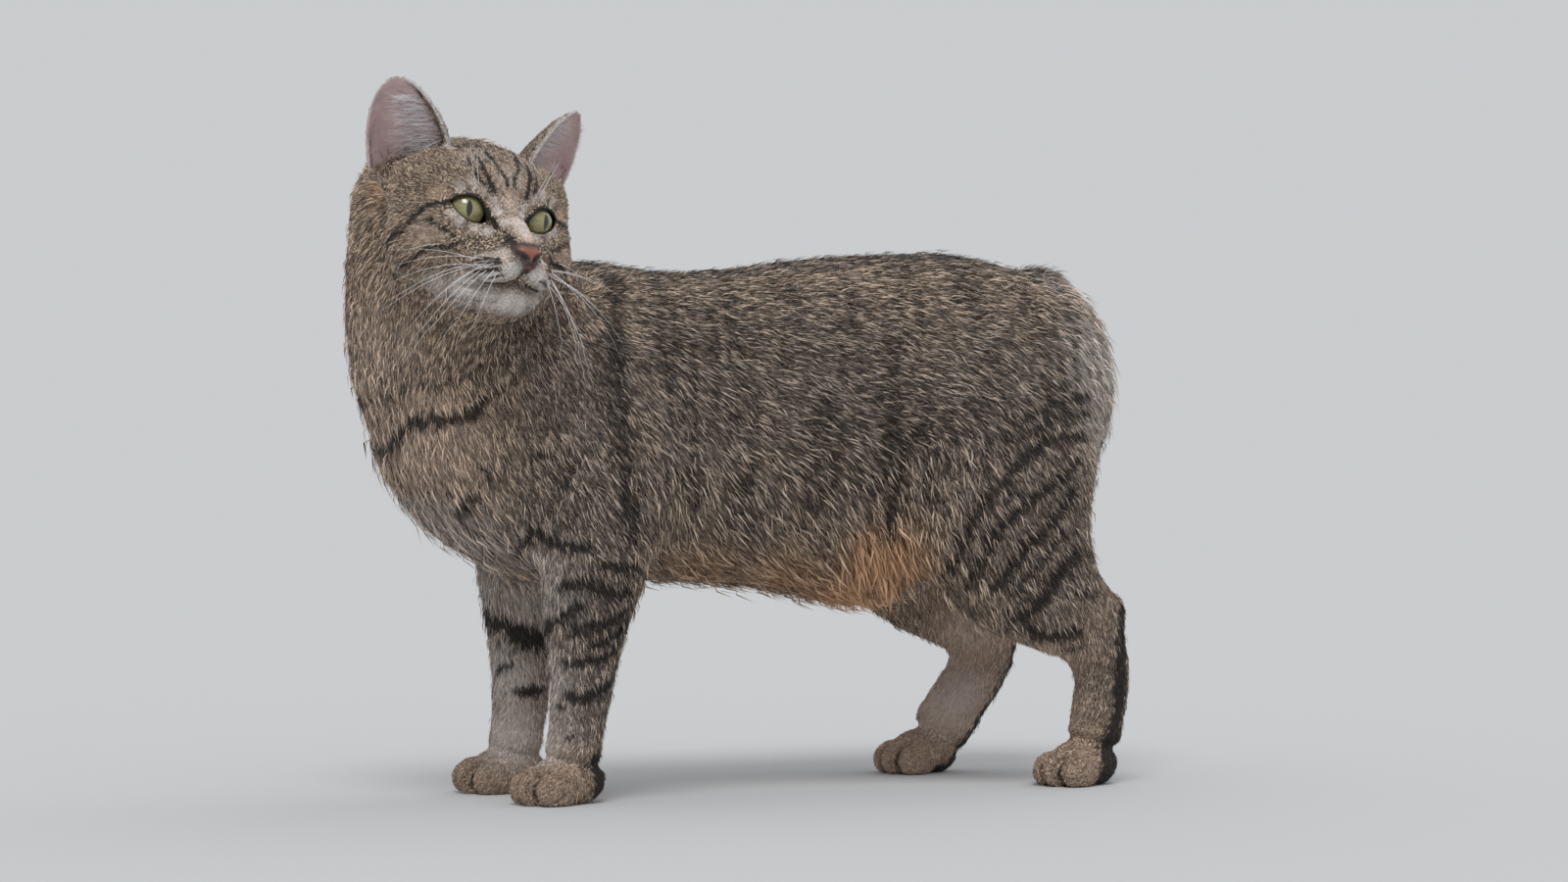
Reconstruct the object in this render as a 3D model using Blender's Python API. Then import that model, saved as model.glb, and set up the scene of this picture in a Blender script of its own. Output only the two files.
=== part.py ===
"""A life-size manx cat standing with its head turned to its left, as one still model.

The cat faces -X with its left side towards -Y, and stands on Z = 0. Its body is drawn as simple closed
forms: lofted rings for the trunk, neck and legs, and ellipsoids for the head and toes. A voxel remesh
joins them, smoothing blends them, and thin cuts part the result into named pieces.
"""

import math

import bmesh
import bpy
import numpy as np
from mathutils import Matrix, Vector

MM = 0.001

# Driving sizes, in metres
GAP = 0.3 * MM
DENSE_GAP = 0.5 * MM
BODY_VOXEL = 2.5 * MM
MIDDLE_VOXEL = 1.4 * MM
FINE_VOXEL = 0.9 * MM
BODY_SMOOTHING = 26
MIDDLE_SMOOTHING = 9
FINE_SMOOTHING = 4
DECIMATE_TRIES = 12
DECIMATE_STEP = 0.013
RING_POINTS = 28
RINGS_PER_SPAN = 5

# The head's place and turn. Its own axes are forward, left and up, from the point between the eyes.
HEAD_CENTRE = Vector((-0.1699, -0.0725, 0.285))
HEAD_YAW = math.radians(-80.8)
HEAD_ROLL = math.radians(6.0)

EYE_RADIUS = 10.5 * MM
LID_RADIUS = 12.6 * MM
SOCKET_CLEARANCE = 0.9 * MM
EYE_PLACE = (-0.5, 17.9, 0.0)
EYE_SPLAY = math.radians(14)

# Ears, in millimetres on the head's axes, for the left side
EAR_BASE = (-28, 30, 10)
EAR_TIP = (-22, 50.5, 61)
EAR_OPENING = (0.75, 0.62)
EAR_HALF_WIDTH = 19.4
EAR_ROOT = 44.0
EAR_ROOT_SLOPE = (0.6, 0.8)
EAR_ROOT_MIDDLE = 8.4
EAR_THICKNESS = 2.4
EAR_LEVELS = 22

# How the ear's width grows from its base, how it comes to a point, and how far it is rolled
EAR_SPREAD = (0.6, 1.6)
EAR_POINT = (2.3, 0.7)
EAR_ROLL = (0.95, 0.55)
EAR_LEAST_WIDTH = 0.7
EAR_CUT_REACH = 32.0

# The right legs stand a little off the mirror image of the left ones.
RIGHT_FORELEG_SHIFT = -0.0065

# The pad of a paw and its toes, from the paw's own place. A toe is along, across, height.
PAW_PAD = ((0.004, 0, 0.011), (0.020, 0.0155, 0.0140))
TOES = ((-0.006, 0.0125, 0.0080), (-0.013, 0.0045, 0.0088))
TOE_RADII = (0.0115, 0.0062)
TOE_BELOW_FLOOR = 0.0015

# Place of each paw, and the way the toes point, in degrees from -X
PAW_PLACES = {
    "forepaw_l": (-0.1255, -0.035, 8),
    "forepaw_r": (-0.1325, 0.035, 0),
    "hindpaw_l": (0.158, -0.050, 8),
    "hindpaw_r": (0.1135, 0.050, 4),
}
PAW_CUT_REACH = 0.055
PAW_TOP = 0.0285
BELOW = -0.010
SOLE_BAND = 0.35 * MM

# The open lids, in millimetres towards the nose and up from the eye's axis
EYE_OPENING = ((-9.2, 2.7), (-5, 5.5), (-0.5, 6.3), (4.2, 5.2), (7.6, 1.4), (9.6, -4.4),
               (5.6, -6.3), (1.5, -6.4), (-3, -4.5), (-7, -1.1))
OPENING_DEPTHS = (3.0, 20.0)

# Grooves of the face: a path in millimetres left and up, half width and depth
FACE_GROOVES = (
    # Where the lips meet
    (((0, -33.2), (2.5, -34.8), (6, -35.8), (11, -36.6), (15, -37.5), (20, -37.2)), 1.2, 2.2),
    # Philtrum, from the nose to the lips
    (((0, -26.5), (0, -33.5)), 1.0, 1.5),
    # Nostrils, with a slit to the side
    (((3.4, -22.6), (4.4, -22.2)), 1.4, 2.6),
    (((4.4, -22.2), (6.6, -20.8)), 0.9, 1.4),
    # Inner corner of each eye, towards the nose
    (((10.5, -5.0), (7.0, -7.4)), 1.5, 1.6),
)

# How far behind the eyes, to the side and up or down the grooves may reach
FACE_REACH = (-4, 32, 60)
EYE_SEGMENTS, EYE_RINGS = 20, 10

# The bare leather at the tip of the nose, in millimetres on the head's axes
NOSE_PLACE = (31.0, 0, -21.8)
NOSE_RADII = (7.5, 7.4, 5.2)
NOSE_TILT = 20

# The head ends on a plane that slants from the nape down to the throat, on the head's own axes, and the neck
# on one from the front of the chest up to the withers. Angle in degrees, and two corners of the box above it.
HEAD_CUT = (54.4, (-0.066, -0.056, -0.0326), (0.085, 0.051, 0.090))
NECK_CUT = (-43.7, (-0.090, -0.090, 0.275), (0.170, 0.090, 0.460))

# The tubes that part the legs from the trunk: x, y, z, half depth and half width
FORELEG_CUT = (
    (-0.100, 0.051, 0.214, 0.022, 0.018),
    (-0.102, 0.053, 0.196, 0.040, 0.029),
    (-0.106, 0.054, 0.158, 0.046, 0.036),
    (-0.1095, 0.050, 0.126, 0.042, 0.034),
    (-0.112, 0.044, 0.096, 0.034, 0.030),
    (-0.116, 0.038, 0.020, 0.032, 0.030),
)
HIND_LEG_CUT = (
    (0.116, 0.050, 0.246, 0.024, 0.016),
    (0.114, 0.053, 0.228, 0.050, 0.030),
    (0.112, 0.057, 0.198, 0.066, 0.038),
    (0.111, 0.058, 0.166, 0.069, 0.040),
    (0.117, 0.057, 0.136, 0.066, 0.039),
    (0.134, 0.055, 0.108, 0.060, 0.038),
    (0.148, 0.052, 0.080, 0.052, 0.036),
    (0.146, 0.050, 0.020, 0.060, 0.034),
)
CUTTER_POINTS = 12
ELBOW_CUT = 0.112
KNEE_CUT = 0.108
HOCK_CUT = {-1: 0.071, 1: 0.062}

FINE_TRIANGLES = {"head": 5000, "ear_l": 400, "ear_r": 400, "paw": 440}
BODY_TRIANGLES = 3300

COAT_COLOR = (0.19, 0.145, 0.105)
EYE_COLOR = (0.35, 0.38, 0.16)
NOSE_COLOR = (0.30, 0.11, 0.075)

# The middle of the standing cat's box, which becomes the origin
ORIGIN = Vector((-0.01538, -0.01528, 0))


def clear_scene():
    for obj in list(bpy.data.objects):
        bpy.data.objects.remove(obj, do_unlink=True)


def head_matrix():
    """Turns head coordinates (forward, left, up) into the cat's own."""
    forward = Vector((math.cos(HEAD_YAW), math.sin(HEAD_YAW), 0))
    up = Vector((0, 0, 1))
    left = up.cross(forward)
    turn = Matrix((forward, left, up)).transposed()
    roll = Matrix.Rotation(-HEAD_ROLL, 3, "X")
    return Matrix.Translation(HEAD_CENTRE) @ (turn @ roll).to_4x4()


HEAD = head_matrix()


def on_head(place):
    """A point of the head, given in millimetres forward, left and up of the point between the eyes."""
    return HEAD @ (Vector(place) * MM)


def smooth_rows(rows, per_span):
    """Catmull-Rom rows between the given ones, so that a few stations make a smooth loft."""
    rows = np.array(rows, float)
    padded = np.vstack([2 * rows[0] - rows[1], rows, 2 * rows[-1] - rows[-2]])
    made = []
    for i in range(1, len(padded) - 2):
        p0, p1, p2, p3 = padded[i - 1 : i + 3]
        for t in np.linspace(0, 1, per_span, endpoint=False):
            made.append(
                0.5 * (2 * p1 + (p2 - p0) * t + (2 * p0 - 5 * p1 + 4 * p2 - p3) * t**2
                       + (3 * p1 - p0 - 3 * p2 + p3) * t**3)
            )
    made.append(rows[-1])
    return np.array(made)


def mesh_object(name, mesh):
    obj = bpy.data.objects.new(name, mesh)
    bpy.context.scene.collection.objects.link(obj)
    return obj


def loft(rings):
    """A closed mesh through the given rings of points, with a fan at each end."""
    bm = bmesh.new()
    rows = [[bm.verts.new(point) for point in ring] for ring in rings]
    count = len(rows[0])
    for low, high in zip(rows, rows[1:]):
        for i in range(count):
            j = (i + 1) % count
            bm.faces.new((low[i], low[j], high[j]))
            bm.faces.new((low[i], high[j], high[i]))
    bm.faces.new(rows[0][::-1])
    bm.faces.new(rows[-1])
    bmesh.ops.recalc_face_normals(bm, faces=bm.faces)
    mesh = bpy.data.meshes.new("form")
    bm.to_mesh(mesh)
    bm.free()
    return mesh_object("form", mesh)


def trunk_ring(x, top, bottom, half_width, squareness):
    """An upright ring of the trunk at x, with a rounded-box outline."""
    points = []
    middle = (top + bottom) / 2
    half_height = (top - bottom) / 2
    for i in range(RING_POINTS):
        angle = 2 * math.pi * i / RING_POINTS
        c, s = math.cos(angle), math.sin(angle)
        y = half_width * math.copysign(abs(c) ** (2 / squareness), c)
        z = half_height * math.copysign(abs(s) ** (2 / squareness), s)
        points.append((x, y, middle + z))
    return points


def trunk(stations):
    return loft([trunk_ring(*row) for row in smooth_rows(stations, RINGS_PER_SPAN)])


def limb(stations, sides=RING_POINTS, per_span=RINGS_PER_SPAN):
    """A loft along a bent line. Each station is x, y, z, the half depth fore and aft, and the half width."""
    rows = smooth_rows(stations, per_span)
    centres = rows[:, :3]
    tangents = np.gradient(centres, axis=0)
    rings = []
    for row, tangent in zip(rows, tangents):
        along = Vector(tangent).normalized()
        side = Vector((0, 1, 0))
        side = (side - along * side.dot(along)).normalized()
        fore = side.cross(along)
        ring = []
        for i in range(sides):
            angle = 2 * math.pi * i / sides
            offset = fore * (row[3] * math.cos(angle)) + side * (row[4] * math.sin(angle))
            ring.append(Vector(row[:3]) + offset)
        rings.append(ring)
    return loft(rings)


def ellipsoid(centre, radii, turn=None, detail=4):
    bm = bmesh.new()
    bmesh.ops.create_icosphere(bm, subdivisions=detail, radius=1.0)
    place = Matrix.Translation(Vector(centre))
    if turn is not None:
        place = place @ turn.to_4x4()
    bmesh.ops.transform(bm, matrix=place @ Matrix.Diagonal((*radii, 1)), verts=bm.verts)
    mesh = bpy.data.meshes.new("form")
    bm.to_mesh(mesh)
    bm.free()
    return mesh_object("form", mesh)


def head_form(place, radii, tilt=0.0, splay=0.0):
    """An ellipsoid of the head, in millimetres. tilt raises its front, and splay turns its front outwards."""
    turn = HEAD.to_3x3() @ Matrix.Rotation(math.radians(splay), 3, "Z")
    turn = turn @ Matrix.Rotation(math.radians(-tilt), 3, "Y")
    return ellipsoid(on_head(place), [r * MM for r in radii], turn)


def both_sides(place, radii, tilt=0.0, splay=0.0):
    """The same head form on the left and on the right."""
    forward, left, up = place
    return [
        head_form((forward, side * left, up), radii, tilt, side * splay)
        for side in (1, -1)
    ]


def evaluated_copy(obj, name):
    """The object with its modifiers applied, in place of the object."""
    graph = bpy.context.evaluated_depsgraph_get()
    mesh = bpy.data.meshes.new_from_object(obj.evaluated_get(graph))
    mesh.transform(obj.matrix_world)
    bpy.data.objects.remove(obj, do_unlink=True)
    return mesh_object(name, mesh)


def fuse(forms, name, voxel, smoothing):
    """Joins overlapping closed forms into one skin, and blends the creases where they meet."""
    bm = bmesh.new()
    for form in forms:
        bm.from_mesh(form.data)
        bpy.data.objects.remove(form, do_unlink=True)
    mesh = bpy.data.meshes.new(name)
    bm.to_mesh(mesh)
    bm.free()
    obj = mesh_object(name, mesh)
    remesh = obj.modifiers.new("join", "REMESH")
    remesh.mode = "VOXEL"
    remesh.voxel_size = voxel
    blend = obj.modifiers.new("blend", "SMOOTH")
    blend.factor = 0.5
    blend.iterations = smoothing
    return evaluated_copy(obj, name)


def trunk_forms():
    """Chest, back, belly and rump. Each station is x, top, bottom, half width and squareness."""
    return [
        trunk((
            (-0.2105, 0.212, 0.186, 0.016, 2.0),
            (-0.2045, 0.226, 0.168, 0.032, 2.0),
            (-0.191, 0.240, 0.146, 0.045, 2.1),
            (-0.170, 0.254, 0.128, 0.054, 2.2),
            (-0.140, 0.266, 0.113, 0.059, 2.3),
            (-0.105, 0.2725, 0.108, 0.060, 2.3),
            (-0.065, 0.2692, 0.1085, 0.058, 2.3),
            (-0.030, 0.2703, 0.1075, 0.058, 2.3),
            (0.010, 0.2763, 0.103, 0.060, 2.3),
            (0.045, 0.280, 0.096, 0.061, 2.3),
            (0.080, 0.2825, 0.100, 0.062, 2.3),
            (0.110, 0.282, 0.113, 0.062, 2.3),
            (0.140, 0.276, 0.128, 0.060, 2.2),
            (0.165, 0.271, 0.144, 0.053, 2.1),
            (0.183, 0.258, 0.162, 0.042, 2.0),
            (0.1945, 0.236, 0.185, 0.022, 2.0),
        )),
        # The low tuft over the missing tail
        ellipsoid((0.160, 0, 0.264), (0.020, 0.017, 0.0135)),
    ]


def neck_forms():
    return [
        limb((
            (-0.120, 0.000, 0.180, 0.060, 0.050),
            (-0.150, 0.000, 0.205, 0.063, 0.055),
            (-0.1665, -0.001, 0.232, 0.058, 0.058),
            (-0.174, -0.004, 0.260, 0.052, 0.057),
            (-0.177, -0.006, 0.286, 0.048, 0.050),
            (-0.180, -0.009, 0.306, 0.045, 0.041),
            (-0.183, -0.016, 0.319, 0.035, 0.028),
        )),
    ]


def foreleg_forms(side, shift):
    """Shoulder, arm and foreleg of one side: -1 is the left."""
    stations = (
        (-0.100, 0.038, 0.225, 0.036, 0.024),
        (-0.102, 0.042, 0.190, 0.040, 0.0265),
        (-0.107, 0.044, 0.155, 0.037, 0.0265),
        (-0.1095, 0.043, 0.128, 0.031, 0.0245),
        (-0.111, 0.040, 0.106, 0.0255, 0.0215),
        (-0.1125, 0.037, 0.083, 0.0207, 0.0187),
        (-0.114, 0.0355, 0.060, 0.0175, 0.0165),
        (-0.1165, 0.035, 0.038, 0.0155, 0.0153),
        (-0.120, 0.035, 0.020, 0.0155, 0.0155),
    )
    return [limb([(x + shift, side * y, z, a, b) for x, y, z, a, b in stations])]


def left_hind_forms():
    return [
        limb((
            (0.122, -0.036, 0.235, 0.050, 0.024),
            (0.115, -0.043, 0.200, 0.062, 0.027),
            (0.111, -0.048, 0.168, 0.060, 0.028),
            (0.115, -0.051, 0.140, 0.056, 0.027),
            (0.128, -0.052, 0.116, 0.046, 0.0235),
            (0.145, -0.052, 0.098, 0.033, 0.0195),
            (0.1625, -0.051, 0.083, 0.0235, 0.0165),
            (0.1725, -0.050, 0.062, 0.0168, 0.0145),
            (0.1715, -0.050, 0.042, 0.0160, 0.0142),
            (0.167, -0.050, 0.022, 0.0165, 0.0150),
        )),
        ellipsoid((0.1805, -0.050, 0.090), (0.009, 0.0085, 0.014)),
    ]


def right_hind_forms():
    return [
        limb((
            (0.128, 0.036, 0.235, 0.050, 0.024),
            (0.118, 0.043, 0.200, 0.066, 0.027),
            (0.110, 0.048, 0.168, 0.066, 0.028),
            (0.108, 0.051, 0.140, 0.056, 0.027),
            (0.119, 0.052, 0.114, 0.042, 0.0235),
            (0.138, 0.052, 0.094, 0.030, 0.0195),
            (0.156, 0.051, 0.077, 0.0215, 0.0165),
            (0.1515, 0.050, 0.057, 0.0185, 0.0148),
            (0.138, 0.050, 0.038, 0.0180, 0.0148),
            (0.1245, 0.050, 0.020, 0.0185, 0.0155),
        )),
        ellipsoid((0.169, 0.050, 0.072), (0.009, 0.0085, 0.013)),
    ]


def skull_forms():
    """The broad forms of the head, in millimetres forward, left and up of the point between the eyes."""
    return [
        head_form((-28, 0, 7), (41, 41, 32)),
        head_form((-22, 0, -18), (38, 43, 29)),
        *both_sides((-17, 27, -16), (26, 21, 22)),
        head_form((-8, 0, -34), (32, 27, 18)),
        head_form((-48, 0, -8), (34, 41, 36)),
        *both_sides((-22, 29, 10), (24, 17.5, 22)),
        *both_sides((-14, 29, -5), (22, 15.5, 17)),
    ]


def muzzle_forms():
    """Bridge of the nose, brows, upper jaw, whisker pads and chin."""
    return [
        head_form((15, 0, -11), (26, 10.5, 10), tilt=-39),
        *both_sides((15.5, 9.5, -28), (14.5, 11.5, 9.5), splay=14),
        head_form((6, 0, -26), (22, 23, 17)),
        head_form((10.5, 0, -40.5), (14, 13.5, 9.5)),
        *both_sides((-3, 19, 11), (13, 13, 7), splay=20),
        *both_sides((0, 18, -16), (14, 11, 8), splay=10),
    ]


def face_forms():
    """The smallest forms: the tip of the nose and the bulge of the lids round each eye."""
    return [
        head_form((27.5, 0, -21), (8.2, 7.3, 6), tilt=-20),
        *both_sides(EYE_PLACE, (LID_RADIUS / MM,) * 3),
    ]


def paw_forms(x, y, heading):
    """Four toes and the pad of one paw."""
    turn = Matrix.Rotation(math.radians(heading), 3, "Z")
    place = Vector((x, y, 0))
    pad_place, pad_radii = PAW_PAD
    forms = [ellipsoid(place + turn @ Vector(pad_place), pad_radii, turn)]
    for along, across, height in TOES:
        for side in (1, -1):
            centre = place + turn @ Vector((along, side * across, height))
            forms.append(ellipsoid(centre, (*TOE_RADII, height + TOE_BELOW_FLOOR), turn))
    return forms


def ear_axes(side):
    """Base, tip, and the ear's rise, opening and across directions, in head millimetres."""
    base = Vector((EAR_BASE[0], side * EAR_BASE[1], EAR_BASE[2]))
    tip = Vector((EAR_TIP[0], side * EAR_TIP[1], EAR_TIP[2]))
    rise = (tip - base).normalized()
    opening = Vector((EAR_OPENING[0], side * EAR_OPENING[1], 0))
    opening = (opening - rise * opening.dot(rise)).normalized()
    return base, tip, rise, opening, rise.cross(opening)


def ear_form(side):
    """A rolled, pointed sheet, open to the front. side is 1 on the left and -1 on the right."""
    base, tip, rise, opening, across = ear_axes(side)
    height = (tip - base).length
    rings = []
    for level in range(EAR_LEVELS + 1):
        share = level / EAR_LEVELS
        spread = min(1, EAR_SPREAD[0] + EAR_SPREAD[1] * share)
        half_width = EAR_HALF_WIDTH * spread * (1 - share ** EAR_POINT[0]) ** EAR_POINT[1] + EAR_LEAST_WIDTH
        depth = half_width * (EAR_ROLL[0] - EAR_ROLL[1] * share)
        centre = base + rise * (height * share)
        outer, inner = [], []
        for i in range(EAR_LEVELS + 1):
            bend = math.pi * (i / EAR_LEVELS - 0.5)
            rim = across * (half_width * math.sin(bend)) - opening * (depth * math.cos(bend))
            normal = (across * math.sin(bend) - opening * math.cos(bend)).normalized()
            outer.append(centre + rim + normal * (EAR_THICKNESS / 2))
            inner.append(centre + rim - normal * (EAR_THICKNESS / 2))
        rings.append([on_head(p) for p in outer + inner[::-1]])
    return loft(rings)


def points_of(mesh):
    found = np.empty(len(mesh.vertices) * 3)
    mesh.vertices.foreach_get("co", found)
    return found.reshape(-1, 3)


def normals_of(mesh):
    found = np.empty(len(mesh.vertices) * 3)
    mesh.vertex_normals.foreach_get("vector", found)
    return found.reshape(-1, 3)


def distance_to_path(places, path):
    """How far each place lies from a line through the points of path."""
    best = np.full(len(places), np.inf)
    for start, end in zip(path, path[1:]):
        start, end = np.array(start, float), np.array(end, float)
        along = end - start
        share = np.clip((places - start) @ along / (along @ along), 0, 1)
        best = np.minimum(best, np.linalg.norm(places - start - share[:, None] * along, axis=1))
    return best


def press_face(obj, grooves):
    """Presses grooves into the front of the head. Each is a path in left and up, a half width and a depth."""
    points = points_of(obj.data)
    back = np.array(HEAD.inverted())
    places = (points @ back[:3, :3].T + back[:3, 3]) / MM
    behind, beside, above = FACE_REACH
    near = (np.abs(places[:, 1]) < beside) & (places[:, 0] > behind) & (np.abs(places[:, 2]) < above)
    normals = normals_of(obj.data)[near]
    shown = places[near][:, 1:]
    depth = np.zeros(len(shown))
    for path, half_width, most in grooves:
        for side in (1, -1):
            sided = [(side * left, up) for left, up in path]
            away = distance_to_path(shown, sided)
            depth = np.maximum(depth, most * np.exp(-((away / half_width) ** 2)))
    points[near] -= normals * (depth * MM)[:, None]
    obj.data.vertices.foreach_set("co", points.ravel())


def flatten_soles(obj, band=0.0):
    """Lays every point below the top of the band on the floor."""
    points = points_of(obj.data)
    points[points[:, 2] <= band, 2] = 0
    obj.data.vertices.foreach_set("co", points.ravel())


def copy_of(obj, name="piece"):
    return mesh_object(name, obj.data.copy())


def boolean(obj, cutter, operation, solver="EXACT"):
    """The object after one cut. The cutter is kept."""
    modifier = obj.modifiers.new("cut", "BOOLEAN")
    modifier.operation = operation
    modifier.solver = solver
    modifier.object = cutter
    return evaluated_copy(obj, obj.name)


def part_off(source, make_cutter, solver="EXACT", gap=GAP):
    """Splits the source in two with a thin gap: what lies inside the cutter, and the rest."""
    cutter, wider = make_cutter(0.0), make_cutter(gap)
    piece = boolean(copy_of(source), cutter, "INTERSECT", solver)
    rest = boolean(source, wider, "DIFFERENCE", solver)
    bpy.data.objects.remove(cutter, do_unlink=True)
    bpy.data.objects.remove(wider, do_unlink=True)
    return piece, rest


def box(low, high, turn=None):
    """A closed box between two corners. turn is a matrix that places it."""
    bm = bmesh.new()
    bmesh.ops.create_cube(bm, size=1.0)
    low, high = Vector(low), Vector(high)
    place = Matrix.Translation((low + high) / 2) @ Matrix.Diagonal((*(high - low), 1))
    bmesh.ops.transform(bm, matrix=(turn or Matrix()) @ place, verts=bm.verts)
    mesh = bpy.data.meshes.new("cutter")
    bm.to_mesh(mesh)
    bm.free()
    return mesh_object("cutter", mesh)


def is_closed(obj):
    bm = bmesh.new()
    bm.from_mesh(obj.data)
    closed = all(edge.is_manifold for edge in bm.edges) and all(vert.is_manifold for vert in bm.verts)
    bm.free()
    return closed


def decimate(obj, triangles):
    """Coarsens the object to about this many triangles, at the first count near it that stays closed."""
    now = sum(len(face.vertices) - 2 for face in obj.data.polygons)
    for attempt in range(DECIMATE_TRIES):
        coarse = copy_of(obj, obj.name)
        modifier = coarse.modifiers.new("coarsen", "DECIMATE")
        modifier.ratio = min(1.0, triangles * (1 - DECIMATE_STEP * attempt) / now)
        modifier.use_collapse_triangulate = True
        coarse = evaluated_copy(coarse, obj.name)
        if is_closed(coarse) or attempt == DECIMATE_TRIES - 1:
            break
        bpy.data.objects.remove(coarse, do_unlink=True)
    bpy.data.objects.remove(obj, do_unlink=True)
    return coarse


def keep_largest(obj):
    """Drops every closed surface of the object but the largest."""
    bm = bmesh.new()
    bm.from_mesh(obj.data)
    left = set(bm.faces)
    shells = []
    while left:
        shell, waiting = set(), [left.pop()]
        while waiting:
            face = waiting.pop()
            shell.add(face)
            for edge in face.edges:
                for other in edge.link_faces:
                    if other in left:
                        left.discard(other)
                        waiting.append(other)
        shells.append(shell)
    largest = max(shells, key=lambda shell: sum(face.calc_area() for face in shell))
    scraps = [face for shell in shells if shell is not largest for face in shell]
    bmesh.ops.delete(bm, geom=scraps, context="FACES")
    bm.to_mesh(obj.data)
    bm.free()


def eye_axis(side):
    """The way one eye looks, on the head's axes."""
    return Vector((math.cos(EYE_SPLAY), side * math.sin(EYE_SPLAY), 0))


def eye_opening_cutter(side):
    """A prism along the eye's axis, with the almond outline of the open lids."""
    forward = eye_axis(side)
    inward = Vector((0, 0, 1)).cross(forward) * -side
    centre = Vector((EYE_PLACE[0], side * EYE_PLACE[1], EYE_PLACE[2]))
    outline = smooth_rows([*EYE_OPENING, EYE_OPENING[0]], 2)[:-1]
    rings = []
    for depth in OPENING_DEPTHS:
        rings.append([
            on_head(centre + forward * depth + inward * medial + Vector((0, 0, up)))
            for medial, up in outline
        ])
    return loft(rings)


def limb_cutter(stations, side, shift=0.0):
    def make(extra):
        rows = [
            [x + shift, side * y, z, depth + extra, width + extra]
            for x, y, z, depth, width in stations
        ]
        rows[0][2] += 1.5 * extra
        rows[-1][2] -= 1.5 * extra
        return limb(rows, CUTTER_POINTS, 1)
    return make


def ellipsoid_cutter(centre, radii, turn=None):
    def make(extra):
        return ellipsoid(centre, [radius + extra for radius in radii], turn, 2)
    return make


def box_cutter(low, high, turn=None):
    def make(extra):
        return box([v - extra for v in low], [v + extra for v in high], turn)
    return make


def ear_cutter(side):
    """A box that holds one ear, above a plane that just clears the side of the skull."""
    rise = Vector((0, side * EAR_ROOT_SLOPE[0], EAR_ROOT_SLOPE[1])).normalized()
    forward = Vector((1, 0, 0))
    turn = HEAD @ Matrix((forward, rise.cross(forward), rise)).transposed().to_4x4()
    middle = Vector((EAR_TIP[0], side * EAR_ROOT_MIDDLE, 0)) * MM
    reach = Vector((EAR_CUT_REACH, EAR_CUT_REACH, 0)) * MM
    return box_cutter(
        (middle - reach + Vector((0, 0, EAR_ROOT * MM))),
        (middle + reach + Vector((0, 0, 2 * EAR_ROOT * MM))),
        turn,
    )


def tilted_box(angle, low, high, frame=None):
    """A box turned about the sideways axis, so that its low Z face is a slanting plane."""
    turn = (frame or Matrix()) @ Matrix.Rotation(math.radians(angle), 4, "Y")
    return box_cutter(low, high, turn)


def plain_material(name, color, roughness):
    material = bpy.data.materials.new(name)
    material.use_nodes = True
    shader = material.node_tree.nodes["Principled BSDF"]
    shader.inputs["Base Color"].default_value = (*color, 1)
    shader.inputs["Roughness"].default_value = roughness
    return material


def eyeball(side):
    bm = bmesh.new()
    bmesh.ops.create_uvsphere(bm, u_segments=EYE_SEGMENTS, v_segments=EYE_RINGS, radius=EYE_RADIUS)
    turn = (HEAD.to_3x3() @ eye_axis(side)).to_track_quat("Z", "Y").to_matrix().to_4x4()
    place = Matrix.Translation(on_head((EYE_PLACE[0], side * EYE_PLACE[1], EYE_PLACE[2])))
    bmesh.ops.transform(bm, matrix=place @ turn, verts=bm.verts)
    mesh = bpy.data.meshes.new("eye")
    bm.to_mesh(mesh)
    bm.free()
    return mesh_object("eye", mesh)


def open_eye(head, side):
    """Cuts the socket and the opening of the lids for one eye."""
    centre = on_head((EYE_PLACE[0], side * EYE_PLACE[1], EYE_PLACE[2]))
    socket = ellipsoid(centre, (EYE_RADIUS + SOCKET_CLEARANCE,) * 3, detail=3)
    opening = eye_opening_cutter(side)
    for cutter in (socket, opening):
        head = boolean(head, cutter, "DIFFERENCE", "MANIFOLD")
        bpy.data.objects.remove(cutter, do_unlink=True)
    return head


def whole_cat():
    """The whole skin in one piece, before it is parted."""
    body = fuse(
        [
            *trunk_forms(),
            *neck_forms(),
            *foreleg_forms(-1, 0.0),
            *foreleg_forms(1, RIGHT_FORELEG_SHIFT),
            *left_hind_forms(),
            *right_hind_forms(),
            *skull_forms(),
        ],
        "body",
        BODY_VOXEL,
        BODY_SMOOTHING,
    )
    body = fuse([body, *muzzle_forms()], "body", MIDDLE_VOXEL, MIDDLE_SMOOTHING)
    body = fuse(
        [
            body,
            *face_forms(),
            ear_form(1),
            ear_form(-1),
            *[form for place in PAW_PLACES.values() for form in paw_forms(*place)],
        ],
        "body",
        FINE_VOXEL,
        FINE_SMOOTHING,
    )
    press_face(body, FACE_GROOVES)
    flatten_soles(body)
    return body


def fine_parts(body):
    """Ears, head and paws, cut off while the skin is still dense, and the rest of it."""
    parts = {}
    for side, name in ((1, "ear_l"), (-1, "ear_r")):
        parts[name], body = part_off(body, ear_cutter(side), "MANIFOLD", DENSE_GAP)
    parts["head"], body = part_off(body, tilted_box(*HEAD_CUT, HEAD), "MANIFOLD", DENSE_GAP)
    for side in (1, -1):
        parts["head"] = open_eye(parts["head"], side)
    for name, (x, y, _) in PAW_PLACES.items():
        inner, outer = sorted((math.copysign(GAP, y), 2 * y))
        cutter = box_cutter((x - PAW_CUT_REACH, inner, BELOW), (x + PAW_CUT_REACH, outer, PAW_TOP))
        parts[name], body = part_off(body, cutter, "MANIFOLD", DENSE_GAP)
    for name, piece in parts.items():
        budget = FINE_TRIANGLES["paw" if "paw" in name else name]
        parts[name] = decimate(piece, budget)
        if "paw" in name:
            flatten_soles(parts[name], SOLE_BAND)
    return parts, decimate(body, BODY_TRIANGLES)


def level_cutter(top):
    return box_cutter((-0.3, -0.2, BELOW), (0.3, 0.2, top))


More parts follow.
